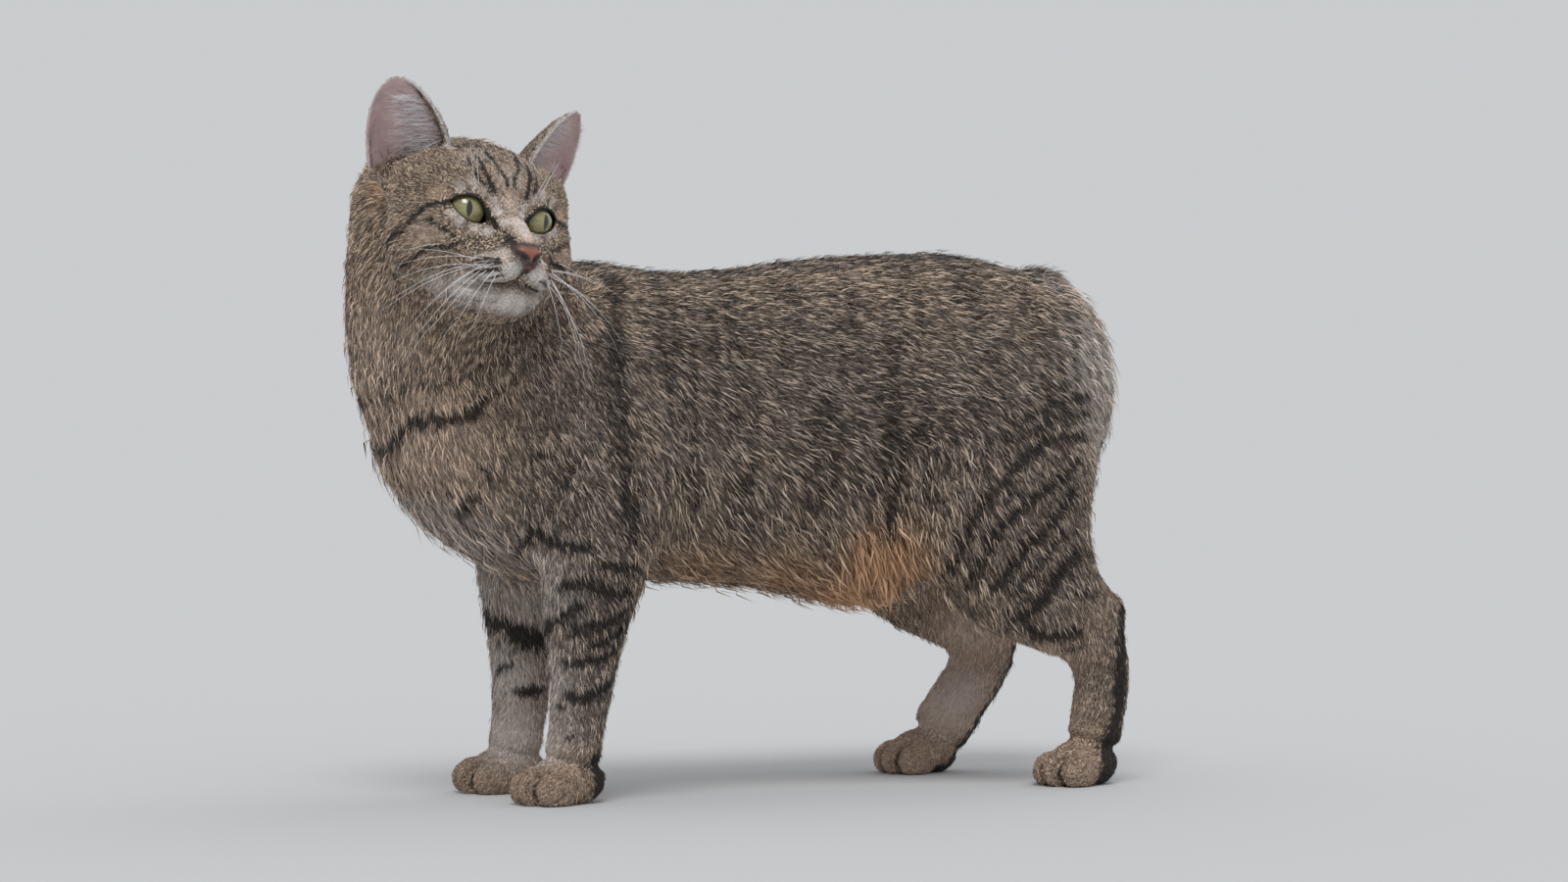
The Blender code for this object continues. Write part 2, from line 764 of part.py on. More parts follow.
def coarse_parts(body):
    """Neck, torso and legs, parted with few-sided cutters."""
    parts = {}
    parts["neck"], body = part_off(body, tilted_box(*NECK_CUT))
    for side, name in ((-1, "l"), (1, "r")):
        shift = RIGHT_FORELEG_SHIFT if side > 0 else 0.0
        leg, body = part_off(body, limb_cutter(FORELEG_CUT, side, shift))
        parts["foreleg_" + name], parts["shoulder_" + name] = part_off(leg, level_cutter(ELBOW_CUT))
        leg, body = part_off(body, limb_cutter(HIND_LEG_CUT, side))
        lower, parts["thigh_" + name] = part_off(leg, level_cutter(KNEE_CUT))
        foot, shank = part_off(lower, level_cutter(HOCK_CUT[side]))
        parts["hindfoot_" + name], parts["shank_" + name] = foot, shank
    parts["torso"] = body
    return parts


def main():
    clear_scene()
    parts, body = fine_parts(whole_cat())
    parts.update(coarse_parts(body))
    for side, name in ((1, "l"), (-1, "r")):
        parts["eye_" + name] = eyeball(side)
    turn = HEAD.to_3x3() @ Matrix.Rotation(math.radians(NOSE_TILT), 3, "Y")
    nose_cut = ellipsoid_cutter(on_head(NOSE_PLACE), [r * MM for r in NOSE_RADII], turn)
    parts["nose"], parts["head"] = part_off(parts["head"], nose_cut, "MANIFOLD")
    for name, piece in parts.items():
        piece.name = name
        keep_largest(piece)
        piece.data.transform(Matrix.Translation(-ORIGIN))
        piece.data.materials.clear()
        if name.startswith("eye_"):
            piece.data.materials.append(plain_material(name, EYE_COLOR, 0.1))
        elif name == "nose":
            piece.data.materials.append(plain_material(name, NOSE_COLOR, 0.5))
        else:
            piece.data.materials.append(plain_material(name, COAT_COLOR, 0.8))


main()
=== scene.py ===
# %% [markdown]
# # A life-size manx cat
#
# This lesson dresses a solid cat, parted into named pieces, as a living one: one soft skin without seams,
# a short ticked coat made of several hundred thousand small locks of hair, wet eyes, nose leather
# and whiskers. Every step starts from the solids, so all of it stays where the solids are.

# %% Load the solids
import math

import bmesh
import bpy
import numpy as np
from mathutils import Matrix, Vector
from mathutils.bvhtree import BVHTree
from mathutils.kdtree import KDTree


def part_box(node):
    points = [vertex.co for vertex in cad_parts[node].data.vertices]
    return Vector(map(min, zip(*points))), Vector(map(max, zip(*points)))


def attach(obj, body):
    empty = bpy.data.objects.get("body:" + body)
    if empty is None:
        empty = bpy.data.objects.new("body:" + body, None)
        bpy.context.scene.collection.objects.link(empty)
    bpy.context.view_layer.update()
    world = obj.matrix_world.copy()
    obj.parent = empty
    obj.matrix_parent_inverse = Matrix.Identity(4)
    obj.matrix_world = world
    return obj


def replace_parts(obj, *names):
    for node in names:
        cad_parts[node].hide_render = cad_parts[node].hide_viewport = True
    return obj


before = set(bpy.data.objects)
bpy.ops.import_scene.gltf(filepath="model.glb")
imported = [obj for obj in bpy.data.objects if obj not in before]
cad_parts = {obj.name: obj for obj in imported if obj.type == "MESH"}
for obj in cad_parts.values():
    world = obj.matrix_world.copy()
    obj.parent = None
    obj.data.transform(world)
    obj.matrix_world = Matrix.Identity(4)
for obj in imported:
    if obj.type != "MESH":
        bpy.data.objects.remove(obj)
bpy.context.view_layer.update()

MM = 0.001
chance = np.random.default_rng(41)
scene = bpy.context.scene

# %% [markdown]
# ## Where things are on a cat
#
# Two sets of directions are handy. On the body, a place is given by how far along it lies (x), how far out
# from the middle plane, and how high. On the head, which is turned and tilted, a place is given forward,
# left and up of the point between the eyes. That point and those directions are worked out from the two
# eyeballs, so they follow the solids.

# %% The middle plane of the body
def middle_of(node):
    low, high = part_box(node)
    return (low + high) / 2


MIDDLE_Y = middle_of("torso").y

# %% The head's own directions
# How far forward of the head's own middle point the eyes are, in millimetres
EYE_FORWARD = -0.5
left_eye, right_eye = middle_of("eye_l"), middle_of("eye_r")
left = (left_eye - right_eye).normalized()
forward = left.cross(Vector((0, 0, 1))).normalized()
up = forward.cross(left)
HEAD_TURN = Matrix((forward, left, up)).transposed()
HEAD = Matrix.Translation((left_eye + right_eye) / 2 - forward * EYE_FORWARD * MM) @ HEAD_TURN.to_4x4()
HEAD_BACK = np.array(HEAD.inverted())
EYE_LEFT = (left_eye - right_eye).length / 2 / MM
print("middle plane y", round(MIDDLE_Y, 4), "eyes apart", round(2 * EYE_LEFT, 1), "mm")


def on_head(place):
    """A point of the head, from millimetres forward, left and up of the point between the eyes."""
    return HEAD @ (Vector(place) * MM)


def on_body(place, side):
    """A point from millimetres along, out from the middle and up. side is -1 on the left."""
    along, out, height = place
    return Vector((along * MM, MIDDLE_Y + side * out * MM, height * MM))


def mirrored(place, side):
    """A place or a way as it is on the left for side 1, and as in a mirror for side -1."""
    return (place[0], side * place[1], place[2])


def head_places(points):
    """Points of the cat as millimetres on the head's own directions."""
    return (points @ HEAD_BACK[:3, :3].T + HEAD_BACK[:3, 3]) / MM


# %% [markdown]
# ## Meshes as arrays
#
# Hair needs millions of corners, and a loop over vertices would take many minutes. So meshes are handled as
# arrays: one call reads all the points of a mesh, numpy works on them together, and one call writes them
# back. The helpers below read, write and make meshes in this way.

# %% Reading meshes
def rows_of(things, name, width, kind):
    """One value of all the things, such as vertices, as rows of an array."""
    found = np.empty(len(things) * width, kind)
    things.foreach_get(name, found)
    return found.reshape(-1, width)


def points_of(mesh):
    return rows_of(mesh.vertices, "co", 3, np.float32).astype(float)


def normals_of(mesh):
    return rows_of(mesh.vertex_normals, "vector", 3, np.float32).astype(float)


def edges_of(mesh):
    return rows_of(mesh.edges, "vertices", 2, np.int32)


def triangles_of(mesh):
    mesh.calc_loop_triangles()
    return rows_of(mesh.loop_triangles, "vertices", 3, np.int32)


# %% Writing meshes
def set_points(mesh, points):
    mesh.vertices.foreach_set("co", points.astype(np.float32).ravel())
    mesh.update()


def mesh_from(bm, name):
    """A mesh from a bmesh, which is used up."""
    mesh = bpy.data.meshes.new(name)
    bm.to_mesh(mesh)
    bm.free()
    return mesh


def mesh_object(name, mesh, material=None):
    obj = bpy.data.objects.new(name, mesh)
    scene.collection.objects.link(obj)
    if material is not None:
        mesh.materials.clear()
        mesh.materials.append(material)
    return obj


def object_from(name, points, faces, material=None):
    """A smooth object from arrays of points and of faces, all with as many corners."""
    mesh = bpy.data.meshes.new(name)
    count, corners = faces.shape
    mesh.vertices.add(len(points))
    mesh.vertices.foreach_set("co", np.asarray(points, np.float32).ravel())
    mesh.loops.add(count * corners)
    mesh.loops.foreach_set("vertex_index", np.asarray(faces, np.int32).ravel())
    mesh.polygons.add(count)
    mesh.polygons.foreach_set("loop_start", np.arange(0, count * corners, corners, dtype=np.int32))
    mesh.update(calc_edges=True)
    mesh.shade_smooth()
    return mesh_object(name, mesh, material)


# %% Modifiers and unit lengths
def apply_modifiers(obj):
    """The object's mesh with its modifiers applied. The object itself is removed."""
    graph = bpy.context.evaluated_depsgraph_get()
    mesh = bpy.data.meshes.new_from_object(obj.evaluated_get(graph))
    bpy.data.objects.remove(obj, do_unlink=True)
    return mesh


def unit(vectors):
    return vectors / np.maximum(np.linalg.norm(vectors, axis=1), 1e-9)[:, None]


# %% [markdown]
# ## The skin
#
# A living cat has one smooth skin, but the solids are parted by thin cuts and have flat facets. They could
# be joined with Booleans, which would keep every facet. A voxel remesh joins them and gives even triangles,
# so it is used twice. First the pieces of flesh are swollen a little, so that the cuts close, and joined.
# Relaxing the points takes the facets away, more on the broad body than on the head. The second round adds
# what is small and crisp, such as toes, lids and ears, and blends only lightly.

# %% Joining forms
FLESH = [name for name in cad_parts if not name.startswith(("eye_", "nose"))]
CUT_SWELL = 0.45 * MM
WELD = 0.01 * MM
BODY_VOXEL = 1.5 * MM
SKIN_VOXEL = 0.85 * MM


def joined(forms, voxel):
    """One closed mesh around all the forms, which are used up."""
    bm = bmesh.new()
    for form in forms:
        bm.from_mesh(form)
        bpy.data.meshes.remove(form)
    obj = mesh_object("forms", mesh_from(bm, "forms"))
    remesh = obj.modifiers.new("join", "REMESH")
    remesh.mode = "VOXEL"
    remesh.voxel_size = voxel
    return apply_modifiers(obj)


def swollen(node, by):
    """A copy of a solid's mesh, welded and pushed outwards."""
    bm = bmesh.new()
    bm.from_mesh(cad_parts[node].data)
    bmesh.ops.remove_doubles(bm, verts=bm.verts, dist=WELD)
    bm.normal_update()
    for vert in bm.verts:
        vert.co += vert.normal * by
    return mesh_from(bm, node)


# %% Relaxing points and spreading numbers
# A round takes each point towards its neighbours' mean, and then a little further back than it came
RELAX_IN = 0.55
RELAX_OUT = -0.57


def neighbour_mean(values, edges, counts):
    """For each vertex, the mean of the values at its neighbours."""
    first, second = edges[:, 0], edges[:, 1]
    total = len(values)
    sums = [
        np.bincount(first, column[second], total) + np.bincount(second, column[first], total)
        for column in values.T
    ]
    return np.stack(sums, 1) / counts[:, None]


def relax(mesh, share, rounds):
    """Smooths the mesh without shrinking it. share is how much of each round a vertex takes."""
    points, edges = points_of(mesh), edges_of(mesh)
    counts = np.maximum(np.bincount(edges.ravel(), minlength=len(points)), 1)
    for _ in range(rounds):
        for factor in (RELAX_IN, RELAX_OUT):
            mean = neighbour_mean(points, edges, counts)
            points += factor * share[:, None] * (mean - points)
    set_points(mesh, points)


def spread(mesh, values, rounds):
    """Blurs a number that is kept on each vertex, so that it changes softly over the skin."""
    edges = edges_of(mesh)
    counts = np.maximum(np.bincount(edges.ravel(), minlength=len(values)), 1)
    values = values.astype(float)[:, None]
    for _ in range(rounds):
        values = 0.5 * (values + neighbour_mean(values, edges, counts))
    return values[:, 0]


# %% [markdown]
# The coat is thick on the neck and thin on the paws. A table says, for each part of the body, how deep the
# coat lies over the skin and how strongly the skin is relaxed. Each vertex looks up the solid that it is
# nearest to, and the looked-up numbers are then spread, so that no border shows.

# %% Which part of the cat a point belongs to
node_names = sorted(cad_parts)
all_points, all_faces, face_node = [], [], []
for number, name in enumerate(node_names):
    node_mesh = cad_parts[name].data
    corners = triangles_of(node_mesh)
    all_faces.append(corners + sum(len(found) for found in all_points))
    all_points.append(points_of(node_mesh))
    face_node.append(np.full(len(corners), number))
solid_faces = np.vstack(all_faces)
face_node = np.concatenate(face_node)
solid_tree = BVHTree.FromPolygons(np.vstack(all_points).tolist(), solid_faces.tolist())


def parts_of(points):
    """The number of the nearest solid, for each point."""
    found = [solid_tree.find_nearest(point)[2] for point in points.tolist()]
    return face_node[np.array(found)]


print("triangles of all solids", len(solid_faces))

# %% Depth of the coat on each part
# Part: how deep the coat is in millimetres, and how strongly the skin is relaxed
PART_TABLE = {
    "torso": (2.6, 1.0),
    "neck": (3.0, 1.0),
    "shoulder": (2.6, 1.0),
    "thigh": (2.8, 1.0),
    "shank": (2.2, 0.8),
    "foreleg": (1.6, 0.7),
    "hindfoot": (1.3, 0.6),
    "forepaw": (0.8, 0.3),
    "hindpaw": (0.8, 0.3),
    "head": (1.0, 0.12),
    "ear": (0.6, 0.05),
    "eye": (0.4, 0.05),
    "nose": (0.2, 0.08),
}


def table_column(parts, column):
    wanted = np.array([PART_TABLE[name.split("_")[0]][column] for name in node_names])
    return wanted[parts]


# %% First round: the body under the coat
BODY_ROUNDS = 45
FIELD_ROUNDS = 14

body_mesh = joined([swollen(name, CUT_SWELL) for name in FLESH if not name.startswith("ear")], BODY_VOXEL)
body_parts = parts_of(points_of(body_mesh))
relax(body_mesh, spread(body_mesh, table_column(body_parts, 1), FIELD_ROUNDS), BODY_ROUNDS)
coat_depth = spread(body_mesh, table_column(body_parts, 0), FIELD_ROUNDS)
inside = points_of(body_mesh) - normals_of(body_mesh) * (coat_depth + CUT_SWELL / MM)[:, None] * MM
set_points(body_mesh, inside)
print("body under the coat", len(body_mesh.vertices), "points")

# %% [markdown]
# ## Small crisp forms
#
# Lids, nose and toes are rounded forms that a sculptor would press on as small eggs of clay. Here each is
# an egg shape of a few sizes, which the remesh then blends into the rest. A ring of points carried along a
# line, called a loft, makes the ears and the tools that cut.

# %% Egg shapes
EGG_DETAIL = 4


def egg(centre, radii, turn=None):
    """A closed egg-shaped mesh. turn is a 3x3 matrix."""
    bm = bmesh.new()
    bmesh.ops.create_icosphere(bm, subdivisions=EGG_DETAIL, radius=1.0)
    place = Matrix.Translation(Vector(centre))
    if turn is not None:
        place = place @ turn.to_4x4()
    bmesh.ops.transform(bm, matrix=place @ Matrix.Diagonal((*radii, 1)), verts=bm.verts)
    return mesh_from(bm, "egg")


def head_egg(place, radii, tilt=0.0):
    """An egg shape of the head, in millimetres. tilt raises its front, in degrees."""
    turn = HEAD_TURN @ Matrix.Rotation(math.radians(-tilt), 3, "Y")
    return egg(on_head(place), [radius * MM for radius in radii], turn)


def both_eggs(place, radii):
    """The same egg shape on both sides of the head."""
    return [head_egg(mirrored(place, side), radii) for side in (1, -1)]


# %% Rings into a closed mesh
def loft(rings):
    """A closed mesh through rings with the same number of points."""
    bm = bmesh.new()
    rows = [[bm.verts.new(point) for point in ring] for ring in rings]
    count = len(rows[0])
    for low, high in zip(rows, rows[1:]):
        for i in range(count):
            j = (i + 1) % count
            bm.faces.new((low[i], low[j], high[j]))
            bm.faces.new((low[i], high[j], high[i]))
    bm.faces.new(rows[0][::-1])
    bm.faces.new(rows[-1])
    bmesh.ops.recalc_face_normals(bm, faces=bm.faces)
    return mesh_from(bm, "loft")


# %% [markdown]
# A cat's ear is a thin sheet of skin and gristle, rolled like a scoop and open to the front and the side. A
# cone with its front cut away would be too stiff, so rings of half circles are lofted from base to tip, and
# their width follows a curve that is round at the tip. At its bottom the ear opens into a small bowl, which
# is cut out as an egg shape.

# %% The directions of an ear
EAR_BASE = (-28, 30.8, 10)
EAR_TIP = (-22, 50.5, 61)
EAR_OPENING = (0.75, 0.62)


def ear_axes(side):
    """Base, tip, and the ear's rise, opening and across directions, in head millimetres."""
    base, tip = Vector(mirrored(EAR_BASE, side)), Vector(mirrored(EAR_TIP, side))
    rise = (tip - base).normalized()
    opening = Vector((EAR_OPENING[0], side * EAR_OPENING[1], 0))
    opening = (opening - rise * opening.dot(rise)).normalized()
    return base, tip, rise, opening, rise.cross(opening)


# %% The sheet of an ear
EAR_HALF_WIDTH, EAR_TIP_HALF_WIDTH = 20.0, 0.7
# How wide the base is as a share of the widest place, and how fast the ear widens above it
EAR_BASE_SHARE, EAR_WIDENING = 0.6, 1.6
# Powers that round the tip
EAR_TAPER, EAR_ROUNDNESS = 2.9, 0.66
# How deep the roll is for its width at the base, and how much less at the tip
EAR_ROLL, EAR_UNROLL = 0.95, 0.55
EAR_THICKNESS = 1.5
EAR_LEVELS = 48


def ear_outline(share):
    """Half the width of an ear, and how deep it is rolled, from its base at 0 to its tip at 1."""
    widening = np.minimum(1, EAR_BASE_SHARE + EAR_WIDENING * share)
    half_width = EAR_HALF_WIDTH * widening * (1 - share**EAR_TAPER) ** EAR_ROUNDNESS + EAR_TIP_HALF_WIDTH
    return half_width, half_width * (EAR_ROLL - EAR_UNROLL * share)


def ear_sheet(side):
    base, tip, rise, opening, across = ear_axes(side)
    height = (tip - base).length
    rings = []
    for level in range(EAR_LEVELS + 1):
        share = level / EAR_LEVELS
        half_width, depth = ear_outline(share)
        centre = base + rise * (height * share)
        outer, inner = [], []
        for i in range(EAR_LEVELS + 1):
            bend = math.pi * (i / EAR_LEVELS - 0.5)
            rim = across * (half_width * math.sin(bend)) - opening * (depth * math.cos(bend))
            normal = (across * math.sin(bend) - opening * math.cos(bend)).normalized()
            outer.append(centre + rim + normal * (EAR_THICKNESS / 2))
            inner.append(centre + rim - normal * (EAR_THICKNESS / 2))
        rings.append([on_head(point) for point in outer + inner[::-1]])
    return loft(rings)


# %% Places on an ear
def inner_side(side):
    """The sign of bend that lies towards the middle of the head."""
    towards_middle = ear_axes(side)[4].y * side
    return -1 if towards_middle > 0 else 1


def ear_across(places):
    """Where each place lies across its ear, from -1 to 1 at the rim towards the middle of the head."""
    found = np.zeros(len(places))
    for side in (1, -1):
        base, tip, rise, _, across = ear_axes(side)
        away = places - np.array(base)
        share = np.clip(away @ np.array(rise) / (tip - base).length, 0, 1)
        here = places[:, 1] * side > 0
        found[here] = (inner_side(side) * (away @ np.array(across)) / ear_outline(share)[0])[here]
    return found


def ear_place(side, share, bend, depth=0.0):
    """A place on the inner face of an ear: share from base to tip, and bend from -1 to 1 across it."""
    base, tip, rise, opening, across = ear_axes(side)
    half_width, depth_here = ear_outline(share)
    angle = math.pi / 2 * bend
    rim = across * (half_width * math.sin(angle)) - opening * (depth_here * math.cos(angle))
    inwards = (opening * math.cos(angle) - across * math.sin(angle)).normalized()
    place = base + rise * ((tip - base).length * share) + rim + inwards * (EAR_THICKNESS / 2 + depth)
    return place, inwards


# %% The bowl at the bottom of an ear
# How far up the ear and towards its opening the middle of the bowl is, and its radii
BOWL_PLACE = (8.0, -4.5)
BOWL_RADII = (9.0, 11.5, 13.0)


def bowl_axes(side):
    """The middle of a bowl on the head, and its directions."""
    base, _, rise, opening, across = ear_axes(side)
    centre = base + rise * BOWL_PLACE[0] + opening * BOWL_PLACE[1]
    return centre, Matrix((opening, across, rise)).transposed()


def ear_bowl(side):
    centre, turn = bowl_axes(side)
    return egg(on_head(centre), [radius * MM for radius in BOWL_RADII], HEAD_TURN @ turn)


def bowl_distance(places):
    """How far each place of the head is from the middle of the nearer bowl, where 1 is its wall."""
    found = []
    for side in (1, -1):
        centre, turn = bowl_axes(side)
        found.append(np.linalg.norm((places - np.array(centre)) @ np.array(turn) / BOWL_RADII, axis=1))
    return np.min(found, axis=0)


# %% [markdown]
# Each paw shows four toes. They are egg shapes side by side, two in front and two set back, which the
# remesh blends into the paw of the solids.

# %% Toes
# Where the outer and the middle toes are on a paw: along, across and up in metres, and their radii
TOES = ((-0.0085, 0.0128, 0.0072), (-0.0148, 0.0045, 0.0080))
TOE_RADII = (0.0100, 0.0054, 0.0088)
# Where each paw is, along and across in metres, and the way its toes point, in degrees from -X
PAWS = {
    "forepaw_l": ((-0.11012, -0.0197), 8),
    "forepaw_r": ((-0.11712, 0.0503), 0),
    "hindpaw_l": ((0.17338, -0.0347), 8),
    "hindpaw_r": ((0.12888, 0.0653), 4),
}


def toe_places(paw):
    """Where each toe of a paw is, and which way it points."""
    (x, y), heading = PAWS[paw]
    turn = Matrix.Rotation(math.radians(heading), 3, "Z")
    places = []
    for along, across, height in TOES:
        for side in (1, -1):
            places.append((Vector((x, y, 0)) + turn @ Vector((along, side * across, height)), turn))
    return places


def toes(paw):
    return [egg(place, TOE_RADII, turn) for place, turn in toe_places(paw)]


print("toes", sum(len(toe_places(paw)) for paw in PAWS))

# %% Second round: the whole skin
# An eyeball's box is a cube, so its corner to corner length gives the ball's radius
EYE_RADIUS = (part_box("eye_l")[1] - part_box("eye_l")[0]).length / 2 / math.sqrt(3) / MM
LID_THICKNESS = 1.9
LID_RADIUS = EYE_RADIUS + LID_THICKNESS
EYE_PLACE = (EYE_FORWARD, EYE_LEFT, 0)
NOSE_PLACE, NOSE_RADII, NOSE_TILT = (26.4, 0, -21), (7.9, 8.2, 6.6), -20
SKIN_ROUNDS = 3

skin_forms = [
    body_mesh,
    ear_sheet(1),
    ear_sheet(-1),
    *both_eggs(EYE_PLACE, (LID_RADIUS,) * 3),
    head_egg(NOSE_PLACE, NOSE_RADII, NOSE_TILT),
]
for paw in PAWS:
    skin_forms += toes(paw)
skin_mesh = joined(skin_forms, SKIN_VOXEL)
relax(skin_mesh, np.ones(len(skin_mesh.vertices)), SKIN_ROUNDS)
print("skin", len(skin_mesh.vertices), "points, eyeball radius", round(EYE_RADIUS, 2), "mm")

# %% [markdown]
# The muzzle points a little further to the left than the eyes do. All that is seen of the face is made
# straight first, and leans over at the end, so that skin, hair, nose leather and whiskers stay together.

# %% How far the muzzle leans
MUZZLE_LEAN = 2.2
LEAN_START, LEAN_END = 8.0, 30.0
LEAN_REACH = 60.0


def leaned(points):
    """The points, with those of the muzzle moved to the left, more the further forward."""
    places = head_places(points)
    share = np.clip((places[:, 0] - LEAN_START) / (LEAN_END - LEAN_START), 0, 1)
    share = share**2 * (3 - 2 * share) * (np.abs(places[:, 1:]).max(1) < LEAN_REACH)
    return points + share[:, None] * np.array(left) * MUZZLE_LEAN * MM


# %% [markdown]
# ## Mouth, nostrils and eyes
#
# The line of the mouth, the groove below the nose and the inner corners of the eyes are folds of soft skin.
# Cut lines would have hard edges, so they are pressed in: every point near a drawn line moves inwards, most
# on the line and less beside it.

# %% Pressing grooves into the face
# Mouth, groove below the nose, nostril and its wing, and inner corner of the eye: a path in millimetres
# left and up, half width and depth
FACE_GROOVES = (
    (((0, -33.4), (2.5, -34.9), (6, -35.8), (11, -36.5), (16, -37.0), (20, -36.2)), 0.9, 2.8),
    (((0, -25.5), (0, -33.6)), 0.7, 1.3),
    (((2.8, -23.0), (4.0, -21.6)), 1.5, 3.0),
    (((4.0, -21.6), (6.6, -20.5)), 1.0, 1.8),
    (((11.0, -4.6), (8.6, -7.0)), 1.3, 1.3),
)
# Grooves touch only what is further forward than the first, and no further out and up than the others
FACE_REACH = (-4, 32, 60)


def distance_to_path(places, path):
    """How far each place lies from a line through the points of path."""
    nearest = np.full(len(places), np.inf)
    for start, end in zip(path, path[1:]):
        start, end = np.array(start, float), np.array(end, float)
        along = end - start
        share = np.clip((places - start) @ along / (along @ along), 0, 1)
        away = places - start - share[:, None] * along
        nearest = np.minimum(nearest, np.sqrt((away * away).sum(1)))
    return nearest


def press_face(mesh, grooves):
    points = points_of(mesh)
    places = head_places(points)
    behind, beside, above = FACE_REACH
    near = (np.abs(places[:, 1]) < beside) & (places[:, 0] > behind) & (np.abs(places[:, 2]) < above)
    shown = places[near][:, 1:]
    depth = np.zeros(len(shown))
    for path, half_width, most in grooves:
        for side in (1, -1):
            away = distance_to_path(shown, [(side * out, high) for out, high in path])
            depth = np.maximum(depth, most * np.exp(-((away / half_width) ** 2)))
    points[near] -= normals_of(mesh)[near] * (depth * MM)[:, None]
    set_points(mesh, points)
    print("points pressed into the face", int((depth > 0.1).sum()))


press_face(skin_mesh, FACE_GROOVES)

# %% Pressing the creases between the toes
# How far out on a paw the creases are, then their sizes in metres and how dark the painted shade in them is
TOE_CREASES = (0.0, 0.0086)
CREASE_HALF_WIDTH, CREASE_DEPTH, CREASE_START = 0.0011, 0.0026, -0.005
CREASE_BLEND, CREASE_SHADE = 0.009, 0.75
PAW_REACH = (0.032, 0.030)


def paw_places(points, paw):
    """Points on a paw's own directions: along from its middle to its heel, across and up."""
    (x, y), heading = PAWS[paw]
    turn = Matrix.Rotation(math.radians(heading), 3, "Z")
    return (points - np.array((x, y, 0))) @ np.array(turn)


def toe_creases(points):
    """How deep the creases between the toes are at each point, from 0 to 1."""
    depth = np.zeros(len(points))
    for paw in PAWS:
        along, across, height = paw_places(points, paw).T
        near = (np.hypot(along, across) < PAW_REACH[0]) & (height < PAW_REACH[1])
        forwards = np.clip((CREASE_START - along) / CREASE_BLEND, 0, 1)
        for crease in TOE_CREASES:
            away = (np.abs(across) - crease) / CREASE_HALF_WIDTH
            depth = np.maximum(depth, near * forwards * np.exp(-(away**2)))
    return depth


toe_points = points_of(skin_mesh)
pressed = toe_creases(toe_points)
toe_points -= normals_of(skin_mesh) * (pressed * CREASE_DEPTH)[:, None]
toe_points[:, 2] = np.maximum(toe_points[:, 2], 0)
set_points(skin_mesh, toe_points)
print("points pressed between the toes", int((pressed > 0.1).sum()))

# %% [markdown]
# A cat's eye is a ball behind two lids, and the lids leave an almond-shaped opening. The skin is cut three
# times on each side: with a ball for the socket, a prism with the outline of the opening, and the bowl of
# the ear. The outline is a soft curve through ten points.

# %% The outline of the lids
EYE_SPLAY = math.radians(14)
# The edge of the open lids, in millimetres towards the nose and up from the middle of the eye
EYE_OPENING = ((-9.2, 2.7), (-5, 5.5), (-0.5, 6.3), (4.2, 5.2), (7.6, 1.4), (9.6, -4.4),
               (5.6, -6.3), (1.5, -6.4), (-3, -4.5), (-7, -1.1))


def smooth_rows(rows, per_span):
    """Rows on a soft curve through the given ones."""
    rows = np.array(rows, float)
    padded = np.vstack([2 * rows[0] - rows[1], rows, 2 * rows[-1] - rows[-2]])
    made = []
    for i in range(1, len(padded) - 2):
        p0, p1, p2, p3 = padded[i - 1 : i + 3]
        for t in np.linspace(0, 1, per_span, endpoint=False):
            made.append(
                0.5 * (2 * p1 + (p2 - p0) * t + (2 * p0 - 5 * p1 + 4 * p2 - p3) * t**2
                       + (3 * p1 - p0 - 3 * p2 + p3) * t**3)
            )
    made.append(rows[-1])
    return np.array(made)


def eye_directions(side):
    """The eye's middle, and its directions forward, towards the nose and up, on the head."""
    centre = Vector(mirrored(EYE_PLACE, side))
    ahead = Vector((math.cos(EYE_SPLAY), side * math.sin(EYE_SPLAY), 0))
    high = Vector((0, 0, 1))
    return centre, ahead, high.cross(ahead) * -side, high


def lid_edge(side, radius, per_span=6):
    """The edge of the open lids, laid on a ball round the eye, in head millimetres."""
    centre, ahead, inward, high = eye_directions(side)
    places = []
    for medial, raised in smooth_rows([*EYE_OPENING, EYE_OPENING[0]], per_span)[:-1]:
        reach = math.sqrt(max(radius**2 - medial**2 - raised**2, 1.0))
        places.append(centre + ahead * reach + inward * medial + high * raised)
    return places


# %% Cutting the sockets, the lids and the bowls of the ears
SOCKET_CLEARANCE = 0.75
OPENING_DEPTHS = (3.0, 20.0)
OPENING_SPAN = 4


def opening_prism(side):
    centre, ahead, inward, high = eye_directions(side)
    outline = smooth_rows([*EYE_OPENING, EYE_OPENING[0]], OPENING_SPAN)[:-1]
    return loft([
        [on_head(centre + ahead * depth + inward * medial + high * raised) for medial, raised in outline]
        for depth in OPENING_DEPTHS
    ])


def cut(mesh, cutter_mesh):
    obj, cutter = mesh_object("skin", mesh), mesh_object("cutter", cutter_mesh)
    modifier = obj.modifiers.new("cut", "BOOLEAN")
    modifier.operation = "DIFFERENCE"
    modifier.solver = "MANIFOLD"
    modifier.object = cutter
    found = apply_modifiers(obj)
    bpy.data.objects.remove(cutter, do_unlink=True)
    return found


for side in (1, -1):
    socket = head_egg(mirrored(EYE_PLACE, side), (EYE_RADIUS + SOCKET_CLEARANCE,) * 3)
    skin_mesh = cut(skin_mesh, socket)
    skin_mesh = cut(skin_mesh, opening_prism(side))
    skin_mesh = cut(skin_mesh, ear_bowl(side))
skin_points = points_of(skin_mesh)
skin_normals = normals_of(skin_mesh)
skin_places = head_places(skin_points)
skin_parts = parts_of(skin_points)
print("skin with open eyes", len(skin_points), "points")

# %% [markdown]
# ## The lie of the coat
#
# Hair lies from the nose backwards, down the legs and out to the toes. It could be combed by hand, strand
# by strand, or follow a formula, which wouldn't know about elbows and cheeks. A groomer would show the lie
# with strokes of the hand, and the tables below do the same: each stroke has a place, the way the hair lies
# there, its length in millimetres and how steeply it stands off the skin in degrees. Every point of the
# skin takes a mean of the strokes near it, so the coat turns softly from one to the next.

